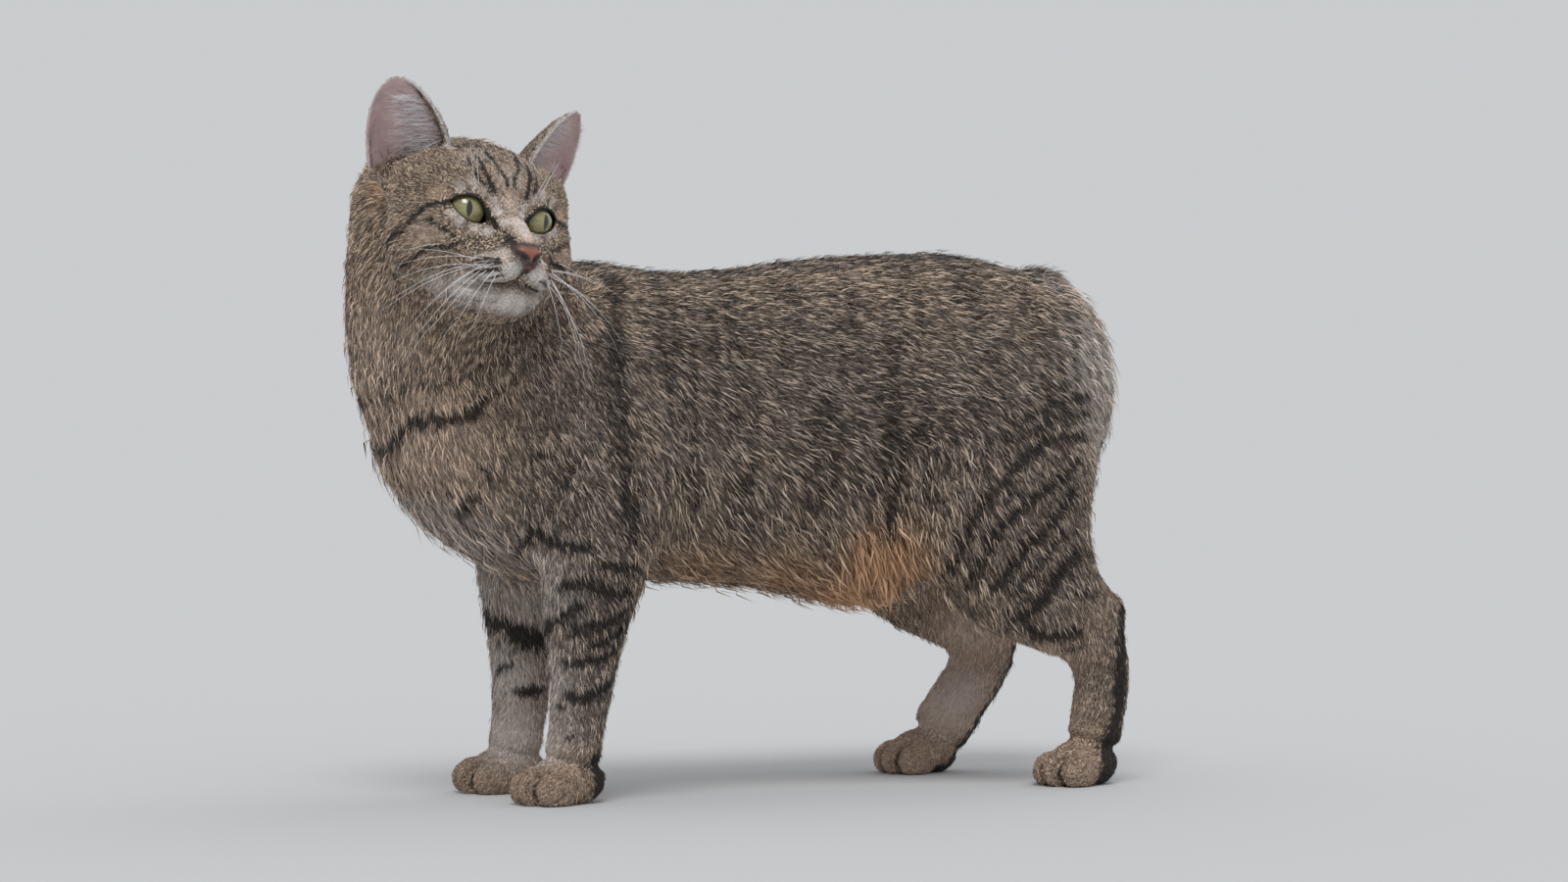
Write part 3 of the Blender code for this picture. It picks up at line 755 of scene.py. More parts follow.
# %% Strokes on the body
# Place and lie, both as along, out and up, then length and lift
BODY_STROKES = (
    ((-150, 10, 318), (0.8, 0.2, -0.5), 6.4, 15),
    ((-150, 56, 265), (0.35, 0, -0.9), 6.4, 15),
    ((-175, 45, 235), (0.2, 0.1, -1), 6.6, 16),
    ((-195, 12, 240), (0.0, 0.1, -1), 6.6, 16),
    ((-203, 8, 205), (0.1, 0.1, -1), 11, 18),
    ((-160, 52, 200), (0.4, 0.1, -0.9), 8, 16),
    ((-188, 10, 168), (0.35, 0, -1), 13, 20),
    ((-160, 14, 132), (0.7, 0, -0.7), 14, 22),
    ((-110, 5, 112), (1, 0, 0), 12, 20),
    ((-100, 8, 276), (1, 0.15, -0.1), 7.2, 14),
    ((-110, 62, 225), (0.6, 0.05, -0.8), 7.2, 15),
    ((-112, 66, 170), (0.5, 0, -0.85), 7.2, 15),
    ((-90, 66, 135), (0.5, 0, -0.85), 7.2, 16),
    ((-105, 62, 105), (0.4, 0, -0.95), 7, 17),
    ((-118, 48, 110), (-0.2, 0, -1), 7, 17),
    ((-105, 20, 100), (0.1, 0, -1), 6.5, 16),
    ((-100, 50, 65), (0.15, 0, -1), 5.5, 15),
    ((-102, 50, 38), (0, 0, -1), 4.5, 14),
    ((-120, 50, 22), (-0.9, 0, -0.5), 2.4, 12),
    ((-142, 50, 10), (-0.6, 0, -0.8), 1.5, 12),
    ((-92, 50, 12), (0.3, 0, -1), 3.5, 14),
    ((-30, 8, 275), (1, 0.1, -0.05), 7.2, 13),
    ((60, 8, 284), (1, 0.1, -0.05), 7.2, 13),
    ((140, 10, 280), (1, 0.1, -0.3), 7.2, 15),
    ((-50, 50, 245), (1, 0.05, -0.3), 7.2, 14),
    ((30, 52, 245), (1, 0.05, -0.25), 7.2, 14),
    ((110, 55, 250), (1, 0.05, -0.35), 7.2, 14),
    ((-50, 60, 195), (0.75, 0, -0.75), 8, 15),
    ((20, 62, 195), (0.95, 0, -0.45), 8, 15),
    ((70, 60, 200), (1, 0, -0.3), 7.6, 15),
    ((-55, 56, 145), (0.45, 0, -0.9), 11, 16),
    ((20, 56, 145), (0.6, 0, -0.85), 11, 16),
    ((-30, 22, 108), (0.6, 0.1, -0.5), 13, 24),
    ((30, 22, 100), (0.6, 0.1, -0.6), 15, 26),
    ((58, 45, 118), (0.3, 0, -1), 19, 30),
    ((190, 22, 252), (0.6, 0, -0.8), 10, 30),
    ((214, 5, 212), (0.15, 0.1, -1), 11, 32),
    ((205, 5, 170), (0, 0.1, -1), 10, 28),
    ((176, 5, 286), (0.9, 0, -0.3), 7.6, 26),
    ((125, 66, 222), (0.85, 0, -0.55), 7.6, 15),
    ((135, 74, 180), (0.5, 0, -0.85), 7.6, 15),
    ((85, 66, 165), (0.3, 0, -0.95), 10, 16),
    ((132, 74, 130), (0.5, 0, -0.85), 7.6, 16),
    ((185, 60, 170), (0.5, 0, -0.85), 7.6, 20),
    ((120, 30, 140), (0.2, 0, -1), 8, 16),
    ((100, 64, 120), (0.35, 0, -0.95), 10, 18),
    ((155, 66, 100), (0.5, 0, -0.85), 7.2, 18),
)

# %% Strokes on the hind legs
# The hind legs stand apart, so each has strokes of its own: side, then as above
HIND_STROKES = (
    (-1, (190, 66, 92), (0.2, 0, -1), 4.5, 14),
    (-1, (185, 66, 55), (0, 0, -1), 4.5, 14),
    (-1, (168, 66, 23), (-0.9, 0, -0.5), 2.4, 12),
    (-1, (148, 66, 10), (-0.6, 0, -0.8), 1.5, 12),
    (1, (180, 66, 76), (-0.3, 0, -1), 4.5, 14),
    (1, (155, 66, 45), (-0.45, 0, -0.9), 4.5, 14),
    (1, (124, 66, 23), (-0.9, 0, -0.5), 2.4, 12),
    (1, (104, 66, 10), (-0.6, 0, -0.8), 1.5, 12),
)

# %% Strokes on the head
# Place and lie, both as forward, left and up, then length and lift
HEAD_STROKES = (
    ((22, 0, -12), (-0.6, 0, 0.8), 1.3, 10),
    ((12, 3, 2), (-0.5, 0.1, 0.85), 1.8, 11),
    ((8, 3, 14), (-0.5, 0.1, 0.85), 2.4, 12),
    ((2, 8, 25), (-0.7, 0.1, 0.7), 3.0, 13),
    ((-15, 6, 38), (-1, 0.1, 0.2), 4.5, 14),
    ((-40, 10, 36), (-1, 0.1, -0.3), 6, 14),
    ((6, 16, 13), (-0.5, 0.3, 0.8), 2.4, 14),
    ((2, 28, 10), (-0.6, 0.6, 0.5), 2.8, 13),
    ((-10, 38, 6), (-0.9, 0.3, 0.1), 4, 13),
    ((-20, 36, 24), (-0.7, 0.3, 0.5), 4, 14),
    ((13, 12, -11), (-0.4, 0.85, -0.1), 1.8, 11),
    ((9, 24, -10), (-0.5, 0.85, -0.2), 2.2, 11),
    ((5, 31, -4), (-0.7, 0.7, -0.1), 2.8, 12),
    ((10, 24, -19), (-0.5, 0.85, -0.3), 2.2, 12),
    ((-2, 39, -12), (-0.9, 0.3, -0.3), 4, 13),
    ((-15, 45, -14), (-0.9, 0.1, -0.5), 5.2, 14),
    ((-30, 42, -22), (-0.7, 0, -0.8), 6.4, 15),
    ((-5, 36, -28), (-0.6, 0.3, -0.8), 5, 14),
    ((24, 11, -26), (-0.55, 0.8, -0.15), 1.4, 10),
    ((27, 5, -28), (-0.3, 0.8, -0.5), 1.5, 11),
    ((20, 12, -33), (-0.4, 0.6, -0.7), 1.7, 12),
    ((23, 4, -42), (-0.3, 0.3, -0.9), 2.1, 12),
    ((15, 12, -42), (-0.5, 0.4, -0.8), 2.6, 13),
    ((0, 27, -38), (-0.6, 0.2, -0.8), 5.2, 14),
    ((5, 10, -49), (-0.8, 0.1, -0.5), 6, 15),
    ((-20, 12, -52), (-0.8, 0, -0.6), 6.5, 16),
    ((24, 8, -17), (-0.5, 0.85, 0.2), 1.2, 10),
    ((-42, 30, 28), (-0.6, 0.2, 0.5), 5, 14),
    ((-30, 44, 32), (0.1, 0.35, 0.9), 2.4, 10),
    ((-24, 49, 52), (0.1, 0.35, 0.9), 1.7, 10),
    ((-20, 32, 34), (0.1, 0.35, 0.9), 2.2, 10),
    ((-52, 12, 20), (-1, 0, -0.4), 6, 15),
    ((-55, 25, -5), (-0.8, 0, -0.8), 6.4, 16),
)

# %% Combing the coat
STROKE_REACH = 7 * MM
# Points combed at a time, so that the array of distances stays small
STROKE_CHUNK = 40000


def all_strokes():
    """Every stroke on both sides, as arrays of place, lie, length and lift."""
    places, lies, sizes = [], [], []
    for side in (-1, 1):
        for place, lie, length, lift in BODY_STROKES:
            places.append(on_body(place, side))
            lies.append(mirrored(lie, side))
            sizes.append((length, lift))
        for place, lie, length, lift in HEAD_STROKES:
            places.append(on_head(mirrored(place, side)))
            lies.append(HEAD_TURN @ Vector(mirrored(lie, side)))
            sizes.append((length, lift))
    for side, place, lie, length, lift in HIND_STROKES:
        places.append(on_body(place, side))
        lies.append(lie)
        sizes.append((length, lift))
    return np.array(places, float), np.array(lies, float), np.array(sizes, float)


def comb(points):
    """The lie, length and lift of the coat at each point."""
    places, lies, sizes = all_strokes()
    values = np.hstack([unit(lies), sizes])
    found = []
    for start in range(0, len(points), STROKE_CHUNK):
        some = points[start : start + STROKE_CHUNK]
        squares = (some**2).sum(1)[:, None] + (places**2).sum(1) - 2 * some @ places.T
        weights = 1 / (np.maximum(squares, 0) + STROKE_REACH**2) ** 2
        found.append(weights @ values / weights.sum(1)[:, None])
    found = np.vstack(found)
    return found[:, :3], found[:, 3], found[:, 4]


skin_lie, skin_length, skin_lift = comb(skin_points)
print("strokes", 2 * (len(BODY_STROKES) + len(HEAD_STROKES)) + len(HIND_STROKES))

# %% [markdown]
# ## Markings
#
# A tabby's markings are dark stripes on ticked fur, and pale or warm patches. A picture laid over the cat
# would show them from one side only, so they are drawn on the skin itself. Each stripe is a short path over
# one side, with a half width in millimetres and a strength from 0 to 1, and it is laid on both sides of the
# cat. Patches of dark, pale, warm or deep fur are soft balls, and deep fur is ticked fur that looks a
# little greyer. Each vertex of the skin, and each lock of hair, then holds how dark, pale, warm and deep
# its fur is.
# Some dark marks also hold painted shade, in the fold behind the shoulder, the crease before the thigh and
# between the toes, and some pale patches a painted rim of light on the rump.

# %% Stripes of the body
# Half width and strength, then places as along, out and up
BODY_STRIPES = (
    # The first stripe, behind the shoulder, is partly a dark stripe and partly painted shade in the fold
    # there
    (7.5, 0.64, ((-83, 33, 260), (-91, 54, 232), (-94, 66, 202), (-91, 69, 179), (-89, 70, 155),
        (-84, 67, 136))),
    (2.8, 0.46, ((-41, 29, 259), (-46, 47, 238), (-50, 56, 213), (-49, 58, 179), (-46, 54, 150))),
    (2.8, 0.36, ((-24, 44, 244), (-28, 53, 223), (-31, 57, 204), (-30, 57, 184))),
    (2.4, 0.36, ((-70, 40, 252), (-77, 57, 227))),
    (5.0, 0.5, ((10, 38, 257), (13, 44, 250))),
    (4.0, 0.4, ((-4, 32, 260), (-1, 34, 258))),
    # The stripes from (59, 55, 230) and from (73, 61, 190) are partly dark stripes and partly painted shade
    # in the crease between flank and thigh
    (7.0, 0.56, ((59, 55, 230), (57, 60, 195), (55, 60, 170), (53, 57, 155))),
    (5.5, 0.4, ((71, 55, 235), (76, 60, 205), (73, 61, 185))),
    (2.8, 1.0, ((73, 61, 190), (68, 61, 182), (63, 60, 167), (59, 57, 150), (59, 53, 137))),
    (2.2, 0.5, ((135, 50, 250), (139, 60, 234))),
    (2.2, 0.5, ((151, 54, 240), (156, 58, 232))),
    (2.2, 0.5, ((117, 47, 257), (114, 57, 241))),
    (3.0, 0.74, ((177, 56, 208), (156, 65, 205), (140, 69, 200), (127, 72, 193), (118, 73, 183))),
    (3.2, 0.86, ((168, 66, 186), (151, 70, 186), (138, 73, 182), (128, 75, 175), (116, 76, 165),
        (106, 74, 155), (96, 72, 140), (92, 68, 125), (89, 63, 117))),
    (3.2, 0.9, ((162, 69, 173), (152, 73, 165), (139, 76, 158), (127, 77, 150), (116, 76, 142),
        (108, 75, 132), (104, 72, 122), (99, 66, 110))),
    (3.2, 0.96, ((156, 73, 157), (148, 75, 147), (138, 77, 137), (127, 77, 127), (120, 74, 117),
        (112, 71, 109))),
    (4.2, 1.0, ((161, 72, 127), (149, 74, 115), (141, 73, 104), (133, 70, 95), (126, 68, 92))),
    (3.4, 1.0, ((164, 68, 84), (153, 66, 81), (142, 65, 81), (136, 65, 84))),
    (2.0, 0.72, ((176, 67, 104), (162, 71, 102))),
    (2.4, 0.82, ((169, 64, 75), (160, 61, 72))),
    (3.0, 1.0, ((-130, 45, 138), (-122, 53, 133), (-115, 61, 130), (-107, 65, 131))),
    (2.5, 0.92, ((-99, 65, 121), (-88, 65, 119), (-78, 61, 119))),
    (3.0, 1.0, ((-115, 55, 111), (-109, 60, 113), (-103, 62, 111), (-92, 61, 106), (-81, 59, 108))),
    (2.8, 1.0, ((-118, 50, 93), (-114, 51, 97), (-108, 57, 101))),
    (3.0, 1.0, ((-109, 53, 89), (-101, 57, 92), (-91, 57, 93), (-83, 57, 99))),
    (3.0, 1.0, ((-98, 55, 82), (-90, 55, 85), (-79, 50, 91))),
    (2.6, 1.0, ((-112, 47, 73), (-102, 53, 73), (-94, 53, 74), (-86, 52, 79))),
    (3.0, 1.0, ((-110, 47, 56), (-103, 50, 55), (-96, 51, 58), (-87, 48, 63))),
    (2.2, 0.72, ((-114, 41, 51), (-112, 44, 50))),
    (2.2, 0.72, ((-110, 46, 35), (-108, 47, 36))),
    (3.5, 0.92, ((-135, 30, 126), (-131, 41, 133))),
    (4.5, 1.0, ((-121, 41, 92), (-117, 27, 90), (-111, 22, 85), (-102, 20, 82))),
    (3.0, 1.0, ((-111, 22, 54), (-101, 20, 55))),
    (2.0, 0.72, ((-119, 32, 65), (-115, 26, 69))),
    (6.5, 1.0, ((-88, 45, 3), (-89, 44, 12), (-93, 43, 23))),
    (7.5, 1.0, ((-113, 22, 84), (-104, 20, 82))),
    (2.6, 0.66, ((170, 52, 196), (154, 60, 196), (140, 66, 191), (126, 70, 184))),
    (2.4, 0.72, ((150, 74, 136), (140, 75, 124), (130, 74, 114), (122, 70, 104))),
    (3.0, 0.5, ((-125, 54, 226), (-133, 56, 217), (-143, 56, 209), (-155, 54, 202))),
    (2.8, 1.0, ((-155, 54, 202), (-162, 51, 195), (-168, 49, 193), (-179, 43, 192), (-188, 34, 191))),
    (3.2, 0.82, ((-188, 34, 191), (-192, 23, 186), (-193, 15, 181), (-195, 0, 178))),
    (3.2, 0.46, ((-138, 56, 226), (-153, 56, 216), (-165, 54, 212), (-171, 51, 209), (-180, 46, 208),
        (-188, 40, 208), (-197, 20, 204), (-200, 0, 202))),
    (3.2, 0.38, ((-149, 58, 225), (-163, 56, 220), (-180, 48, 216), (-196, 34, 215), (-203, 15, 212))),
    (4.0, 0.52, ((-149, 59, 228), (-133, 56, 234), (-126, 53, 237))),
    (3.0, 0.92, ((-161, 41, 154), (-164, 32, 148))),
    (2.5, 0.72, ((-156, 50, 167), (-151, 50, 162))),
    (2.5, 0.67, ((-131, 57, 174), (-124, 58, 176))),
    (2.5, 0.62, ((-107, 66, 179), (-116, 63, 169), (-120, 60, 160))),
    (3.0, 0.67, ((-92, 0, 272), (-40, 0, 272), (20, 0, 277), (90, 0, 283), (150, 0, 284), (180, 0, 280))),
)

# %% The backs of the hind legs
# The two legs stand apart: side, half width and strength, then places as along, out and up
HIND_BACKS = (
    (-1, 5.0, 1.0, ((197, 57, 93), (194, 61, 73), (193, 62, 52), (190, 62, 31), (186, 61, 14),
        (182, 60, 3))),
    (-1, 8.0, 1.0, ((196, 50, 24), (194, 50, 10), (188, 50, 2))),
    (-1, 8.0, 1.0, ((192, 58, 24), (191, 58, 10), (187, 58, 2))),
    (-1, 7.0, 1.0, ((192, 42, 22), (191, 42, 10), (187, 42, 2))),
    (1, 7.5, 1.0, ((152, 50, 20), (150, 50, 9), (146, 50, 2))),
    (1, 6.0, 1.0, ((192, 50, 92), (187, 46, 68), (180, 45, 52), (172, 44, 38), (160, 43, 18), (148, 42, 4),
        (136, 40, 1))),
)

# %% Lines of the face
# Half width and strength, then places as forward, left and up
FACE_STRIPES = (
    (1.3, 1.0, ((6.5, 27.5, 3.2), (4.4, 32, 1.7), (2.6, 36.5, -0.3), (0.2, 39.7, -2.9), (-2.4, 42.1, -6.8),
        (-6.8, 45, -11.6), (-13.1, 46.8, -14.2), (-24, 44, -20))),
    (1.2, 0.82, ((3.2, 37.7, -6.5), (6.4, 32.9, -8.8), (8, 28.3, -11.9), (9.3, 26.2, -13.6))),
    (1.2, 0.87, ((11.9, 23.7, -15.2), (8.3, 27.6, -19.3), (6.5, 32.9, -19.5), (4.1, 36.6, -20.8),
        (1.1, 39, -23.3), (-4.2, 41.2, -26.5), (-12.8, 42.9, -28.5))),
    (1.2, 0.72, ((-2.9, 41.7, -3.4), (-4, 43.2, -8.2), (-8.2, 45.7, -13.4))),
    (1.2, 0.72, ((-1.4, 18.1, 26.1), (3.6, 17.6, 21), (7.2, 15.8, 16.2), (9.5, 13.4, 11.7))),
    (1.3, 0.97, ((0.5, 13.6, 27.5), (3.1, 13.4, 24.1), (6, 13, 20.6), (8.5, 11.3, 16.9), (10.4, 9.7, 12.3),
        (11.2, 8.7, 8.6))),
    (1.2, 0.82, ((0.0, 7, 30), (3.3, 6.4, 26.1), (7.2, 5.4, 21.7), (9.1, 3.4, 19), (10.7, 1.8, 15.4),
        (11.6, 2, 12.5))),
    (1.3, 0.72, ((-7.9, 8.3, 33.5), (1.3, 7.7, 27.7), (3.7, 10.5, 24.7))),
    (1.4, 0.72, ((-7.9, 8.3, 33.5), (-20, 8.5, 37), (-34, 9, 36))),
    (1.3, 0.62, ((-8, 17, 31), (-20, 18.5, 34), (-32, 19, 33))),
    (1.6, 0.52, ((-10, 0, 35), (-30, 0, 39), (-48, 0, 34))),
    (1.7, 1.0, ((10.7, 11.5, 0.6), (11.1, 10.1, -2.8), (12.4, 8.9, -5.6))),
    (1.4, 1.0, ((12.4, 8.9, -5.6), (13.5, 8.3, -7.4))),
    (1.1, 0.72, ((12.6, 9.1, -5.0), (14.2, 8.2, -6.5), (18.0, 8.4, -8.4), (21.7, 8.6, -9.9))),
    (1.0, 0.95, ((26.6, 2.5, -33.2), (23.6, 4.6, -35.0), (21.0, 11.1, -35.9), (17.5, 16.4, -36.6))),
    (0.9, 1.0, ((16.9, 20.2, -23.9), (21.7, 18.6, -23.5), (25.2, 16.3, -23.4), (26.9, 13.1, -23))),
    (0.9, 1.0, ((13, 21.5, -26.6), (19.1, 20.6, -26.4), (24.3, 18.7, -26), (27.2, 16.1, -25.8),
        (28.4, 12.7, -24.9))),
    (0.9, 0.95, ((16.8, 20.5, -30.4), (23.7, 18.9, -30.2), (27.5, 15.9, -29.5), (29.1, 12.6, -28.7))),
    (0.8, 0.8, ((24, 14.5, -33), (27.5, 13, -32.3), (28.4, 9.4, -31.4))),
    (0.8, 0.47, ((0, 23.5, -40.5), (10.9, 16.2, -42.4), (20.7, 8.3, -42.3))),
    (0.9, 0.9, ((30, 0, -27.5), (27, 0, -30.5), (25, 0, -33.6))),
    (1.6, 0.82, ((24.2, 8.2, -11.9), (29.4, 6.8, -16.7))),
    (1.4, 0.87, ((-27, 24, 36), (-22, 34, 45), (-18, 40, 54))),
)

# %% Patches of the body
# Strength, radius, height and the places along of the dark patches in a row over the spine
SPINE_DARK, SPINE_RADIUS, SPINE_HEIGHT, SPINE_PLACES = 0.54, 30, 277, range(-80, 170, 24)
# Dark, pale, warm and deep, then radius, and place as along, out and up
BODY_PATCHES = (
    (0, 0.05, 1.0, 0, 24, (60, 46, 120)),
    (0, 0.05, 1.0, 0, 26, (48, 20, 106)),
    (0.16, 0, 0.55, 0.6, 26, (10, 30, 106)),
    (0.16, 0, 0.45, 0.6, 26, (-35, 30, 108)),
    (0, 0.38, 0.1, 0.4, 30, (-165, 15, 145)),
    (0, 0.34, 0.1, 0.4, 26, (-140, 26, 120)),
    (0, 0.5, 0.1, 0, 20, (-118, 40, 112)),
    (0, 0.25, 0.35, 0, 36, (-184, 28, 180)),
    (0, 0.2, 0.2, 0, 34, (-195, 20, 215)),
    # Painted light: the pale patches at the back edge of the rump, here, below and at (206, 30, 222), are a
    # rim of light along that edge
    (0, 0.95, 0.05, 0, 26, (212, 12, 226)),
    (0, 0.72, 0.1, 0, 28, (216, 8, 195)),
    (0, 0.3, 0.1, 0, 26, (200, 30, 150)),
    (0.2, 0.15, 0.28, 0, 27, (-122, 35, 12)),
    (0.2, 0.15, 0.3, 0, 27, (164, 50, 12)),
    (0.1, 0.26, 0.5, 0, 27, (118, 50, 12)),
    (0, 0.7, 0.15, 0, 23, (-118, 28, 62)),
    (0, 0.7, 0.15, 0, 22, (-114, 24, 32)),
    (0, 0.62, 0.15, 0, 22, (-106, 20, 98)),
    (0, 0.58, 0, 0.5, 28, (186, 48, 225)),
    (0, 0.5, 0, 0.5, 26, (190, 50, 190)),
    (0, 0.3, 0.05, 0, 22, (180, 28, 262)),
    (0, 0.75, 0.05, 0, 16, (206, 30, 222)),
    (0, 0.74, 0.9, 0, 28, (144, 36, 44)),
    (0, 0.56, 0.9, 0, 28, (160, 34, 84)),
    (0, 0.36, 0.6, 0, 30, (130, 30, 130)),
    *((SPINE_DARK, 0, 0, 1.0, SPINE_RADIUS, (along, 0, SPINE_HEIGHT)) for along in SPINE_PLACES),
    (0, 0, 0, 1.0, 40, (-105, 64, 205)),
    (0.16, 0, 0, 1.0, 44, (-105, 66, 155)),
    (0, 0, 0, 0.9, 60, (-40, 60, 200)),
    (0, 0, 0, 1.0, 60, (35, 62, 200)),
    (0, 0, 0, 0.8, 40, (-20, 58, 145)),
    (0, 0, 0, 0.7, 36, (30, 58, 150)),
    (0, 0, 0, 0.9, 60, (115, 66, 205)),
    (0, 0, 0, 0.9, 50, (130, 76, 145)),
    (0.3, 0, 0, 1.0, 38, (-100, 62, 100)),
    (0.26, 0, 0, 1.0, 34, (-98, 54, 60)),
    (0.05, 0, 0, 0.8, 28, (182, 70, 60)),
    (0.12, 0, 0, 1.0, 40, (150, 74, 108)),
)

# %% Patches of the face
# Dark, pale, warm and deep, then radius, and place as forward, left and up
FACE_PATCHES = (
    (0, 1.0, 0, 0, 8.5, (20, 13, -43)),
    (0, 1.0, 0, 0, 8.0, (24, 5, -44)),
    (0, 0.95, 0, 0, 8.0, (10, 20, -39)),
    (0, 0.65, 0, 0, 7.0, (-1, 28, -36)),
    (0, 1.0, 0, 0, 5.6, (29, 7, -29.5)),
    (0, 1.0, 0, 0, 5.6, (24, 14, -31)),
    (0, 0.85, 0.1, 0, 5.4, (22, 17, -26)),
    (0, 0.65, 0.45, 0, 4.5, (26, 11, -21)),
    (0, 0.8, 0.45, 0, 2.8, (11.3, 8.4, 5.4)),
    (0, 0.9, 0.35, 0, 2.8, (12.2, 6.8, 0.9)),
    (0, 0.85, 0.45, 0, 3.4, (17.7, 7.1, -4.3)),
    (0, 0.9, 0.35, 0, 2.6, (7.6, 27.5, -3.4)),
    (0, 0.95, 0.35, 0, 2.6, (8.4, 23.9, -6.0)),
    (0, 0.95, 0.35, 0, 2.8, (10.3, 16.8, -8.0)),
    (0, 0.95, 0.4, 0, 2.8, (13, 11.9, -9.0)),
    (0, 0.65, 0.25, 0, 2.8, (7.6, 25.2, 9.8)),
    (0, 0.7, 0.25, 0, 2.8, (8.1, 18.1, 12.0)),
    (0, 0.7, 0.3, 0, 2.6, (9.7, 13.4, 10.0)),
    (0, 0.78, 0.75, 0, 6.0, (21.3, 0, -3.8)),
    (0, 0.78, 0.75, 0, 5.6, (26, 0, -8)),
    (0, 0.55, 0.85, 0, 4.2, (29.5, 0, -11.8)),
    (0, 0.45, 0.5, 0, 5.5, (13, 0, 6)),
    (0, 0.2, 0.45, 0, 4.6, (3, 33, 5.5)),
    (0, 0.2, 0.7, 0, 2.6, (8, 11.0, 18)),
    (0, 0.34, 0.25, 0, 7.5, (9, 2, 17)),
    (0, 0.25, 0.1, 0, 8.0, (0, 14, 27)),
    (0.5, 0, 0.1, 0, 3.0, (24, 9.5, -15)),
    (0, 0.2, 0.8, 0, 8.0, (-55, 31, 14)),
    (0, 0.2, 0.65, 0, 6.0, (-50, 40, 6)),
    (0, 0.25, 0.3, 0, 9.0, (0, 34, -14)),
    (0.15, 0, 0, 0.5, 14.0, (-20, 12, 38)),
)
print("patches", 2 * (len(BODY_PATCHES) + len(FACE_PATCHES)))

# %% [markdown]
# No edge of fur is straight, and no two hairs are alike. A sum of a few sine waves with random directions
# gives soft random numbers at any place of the cat, and quickly for a million places.

# %% Soft random numbers
WAVE_COUNT, WAVES_PER_METRE, WAVE_SCALE = 7, 900, 2.6
WAVES = chance.normal(size=(WAVE_COUNT, 3)) * WAVES_PER_METRE
WAVE_STARTS = chance.uniform(0, math.tau, WAVE_COUNT)


def waver(points, finer=1.0):
    """Soft random numbers, mostly from -1 to 1, that change over about a centimetre."""
    return np.sin(points @ (WAVES * finer).T + WAVE_STARTS).sum(1) / WAVE_SCALE


# %% Faint streaks over the sides
# Streaks change fast along the body and slowly across and up it, so they stand upright
STREAK_COUNT, STREAK_WAVER = 9, 0.15
STREAK_WAVES = chance.normal(size=(STREAK_COUNT, 3)) * (330, 30, 40)
STREAK_STRENGTH = 0.46
STREAK_LOW, STREAK_FRONT, STREAK_BACK, STREAK_FADE = 0.125, -0.10, 0.20, 0.03


def streaks_at(points):
    """How dark the streaks are at each point. They fade towards the ends of the body."""
    waves = np.sin(points @ STREAK_WAVES.T + np.arange(STREAK_COUNT)).sum(1) / STREAK_COUNT**0.5
    waves += STREAK_WAVER * waver(points)
    along, _, height = points.T
    body = np.clip((height - STREAK_LOW) / STREAK_FADE, 0, 1)
    body = body * np.clip((along - STREAK_FRONT) / STREAK_FADE, 0, 1)
    body *= np.clip((STREAK_BACK - along) / STREAK_FADE, 0, 1)
    return STREAK_STRENGTH * body * np.clip(waves, 0, 1)


# %% Laying stripes over the skin
DARK, PALE = 0, 1
# Half width and strength of the dark upper lids and of the pale rims of the ears
UPPER_LID = (1.1, 1.0)
EAR_RIM = (1.5, 0.9)
EAR_RIM_SHARES = (0.3, 1, 12)
PATH_STEP = 2.0 * MM

skin_triangles = triangles_of(skin_mesh)
skin_tree = BVHTree.FromPolygons(skin_points.tolist(), skin_triangles.tolist())


def laid_path(places):
    """A path over the nearest points of the skin, with one every few millimetres."""
    found = []
    for start, end in zip(places, places[1:]):
        steps = max(1, int((end - start).length / PATH_STEP))
        found += [skin_tree.find_nearest(start.lerp(end, i / steps))[0] for i in range(steps)]
    return [*found, skin_tree.find_nearest(places[-1])[0]]


def all_stripes():
    """Tone, half width in metres, strength and laid path of every stripe, on both sides."""
    for side in (-1, 1):
        for half_width, strength, places in BODY_STRIPES:
            yield DARK, half_width * MM, strength, laid_path([on_body(place, side) for place in places])
        for half_width, strength, places in FACE_STRIPES:
            drawn = [on_head(mirrored(place, side)) for place in places]
            yield DARK, half_width * MM, strength, laid_path(drawn)
        lid = [on_head(place) for place in lid_edge(side, LID_RADIUS)]
        yield DARK, UPPER_LID[0] * MM, UPPER_LID[1], laid_path(lid[: len(lid) // 2 + 1])
        for bend in (-1, 1):
            rim = [on_head(ear_place(side, share, bend)[0]) for share in np.linspace(*EAR_RIM_SHARES)]
            yield PALE, EAR_RIM[0] * MM, EAR_RIM[1], laid_path(rim)
    for side, half_width, strength, places in HIND_BACKS:
        yield DARK, half_width * MM, strength, laid_path([on_body(place, side) for place in places])


def all_patches():
    for side in (-1, 1):
        for *tones, radius, place in BODY_PATCHES:
            yield tones, radius * MM, on_body(place, side)
        for *tones, radius, place in FACE_PATCHES:
            yield tones, radius * MM, on_head(mirrored(place, side))


# %% How dark, pale, warm and deep the fur is
EDGE_WAVER, LEAST_EDGE = 0.35, 0.5
# How many half widths or radii a mark is followed to, and how sharply it ends there
STRIPE_REACH, STRIPE_EDGE = 3, 2.6
PATCH_REACH, PATCH_EDGE = 2.5, 2.8


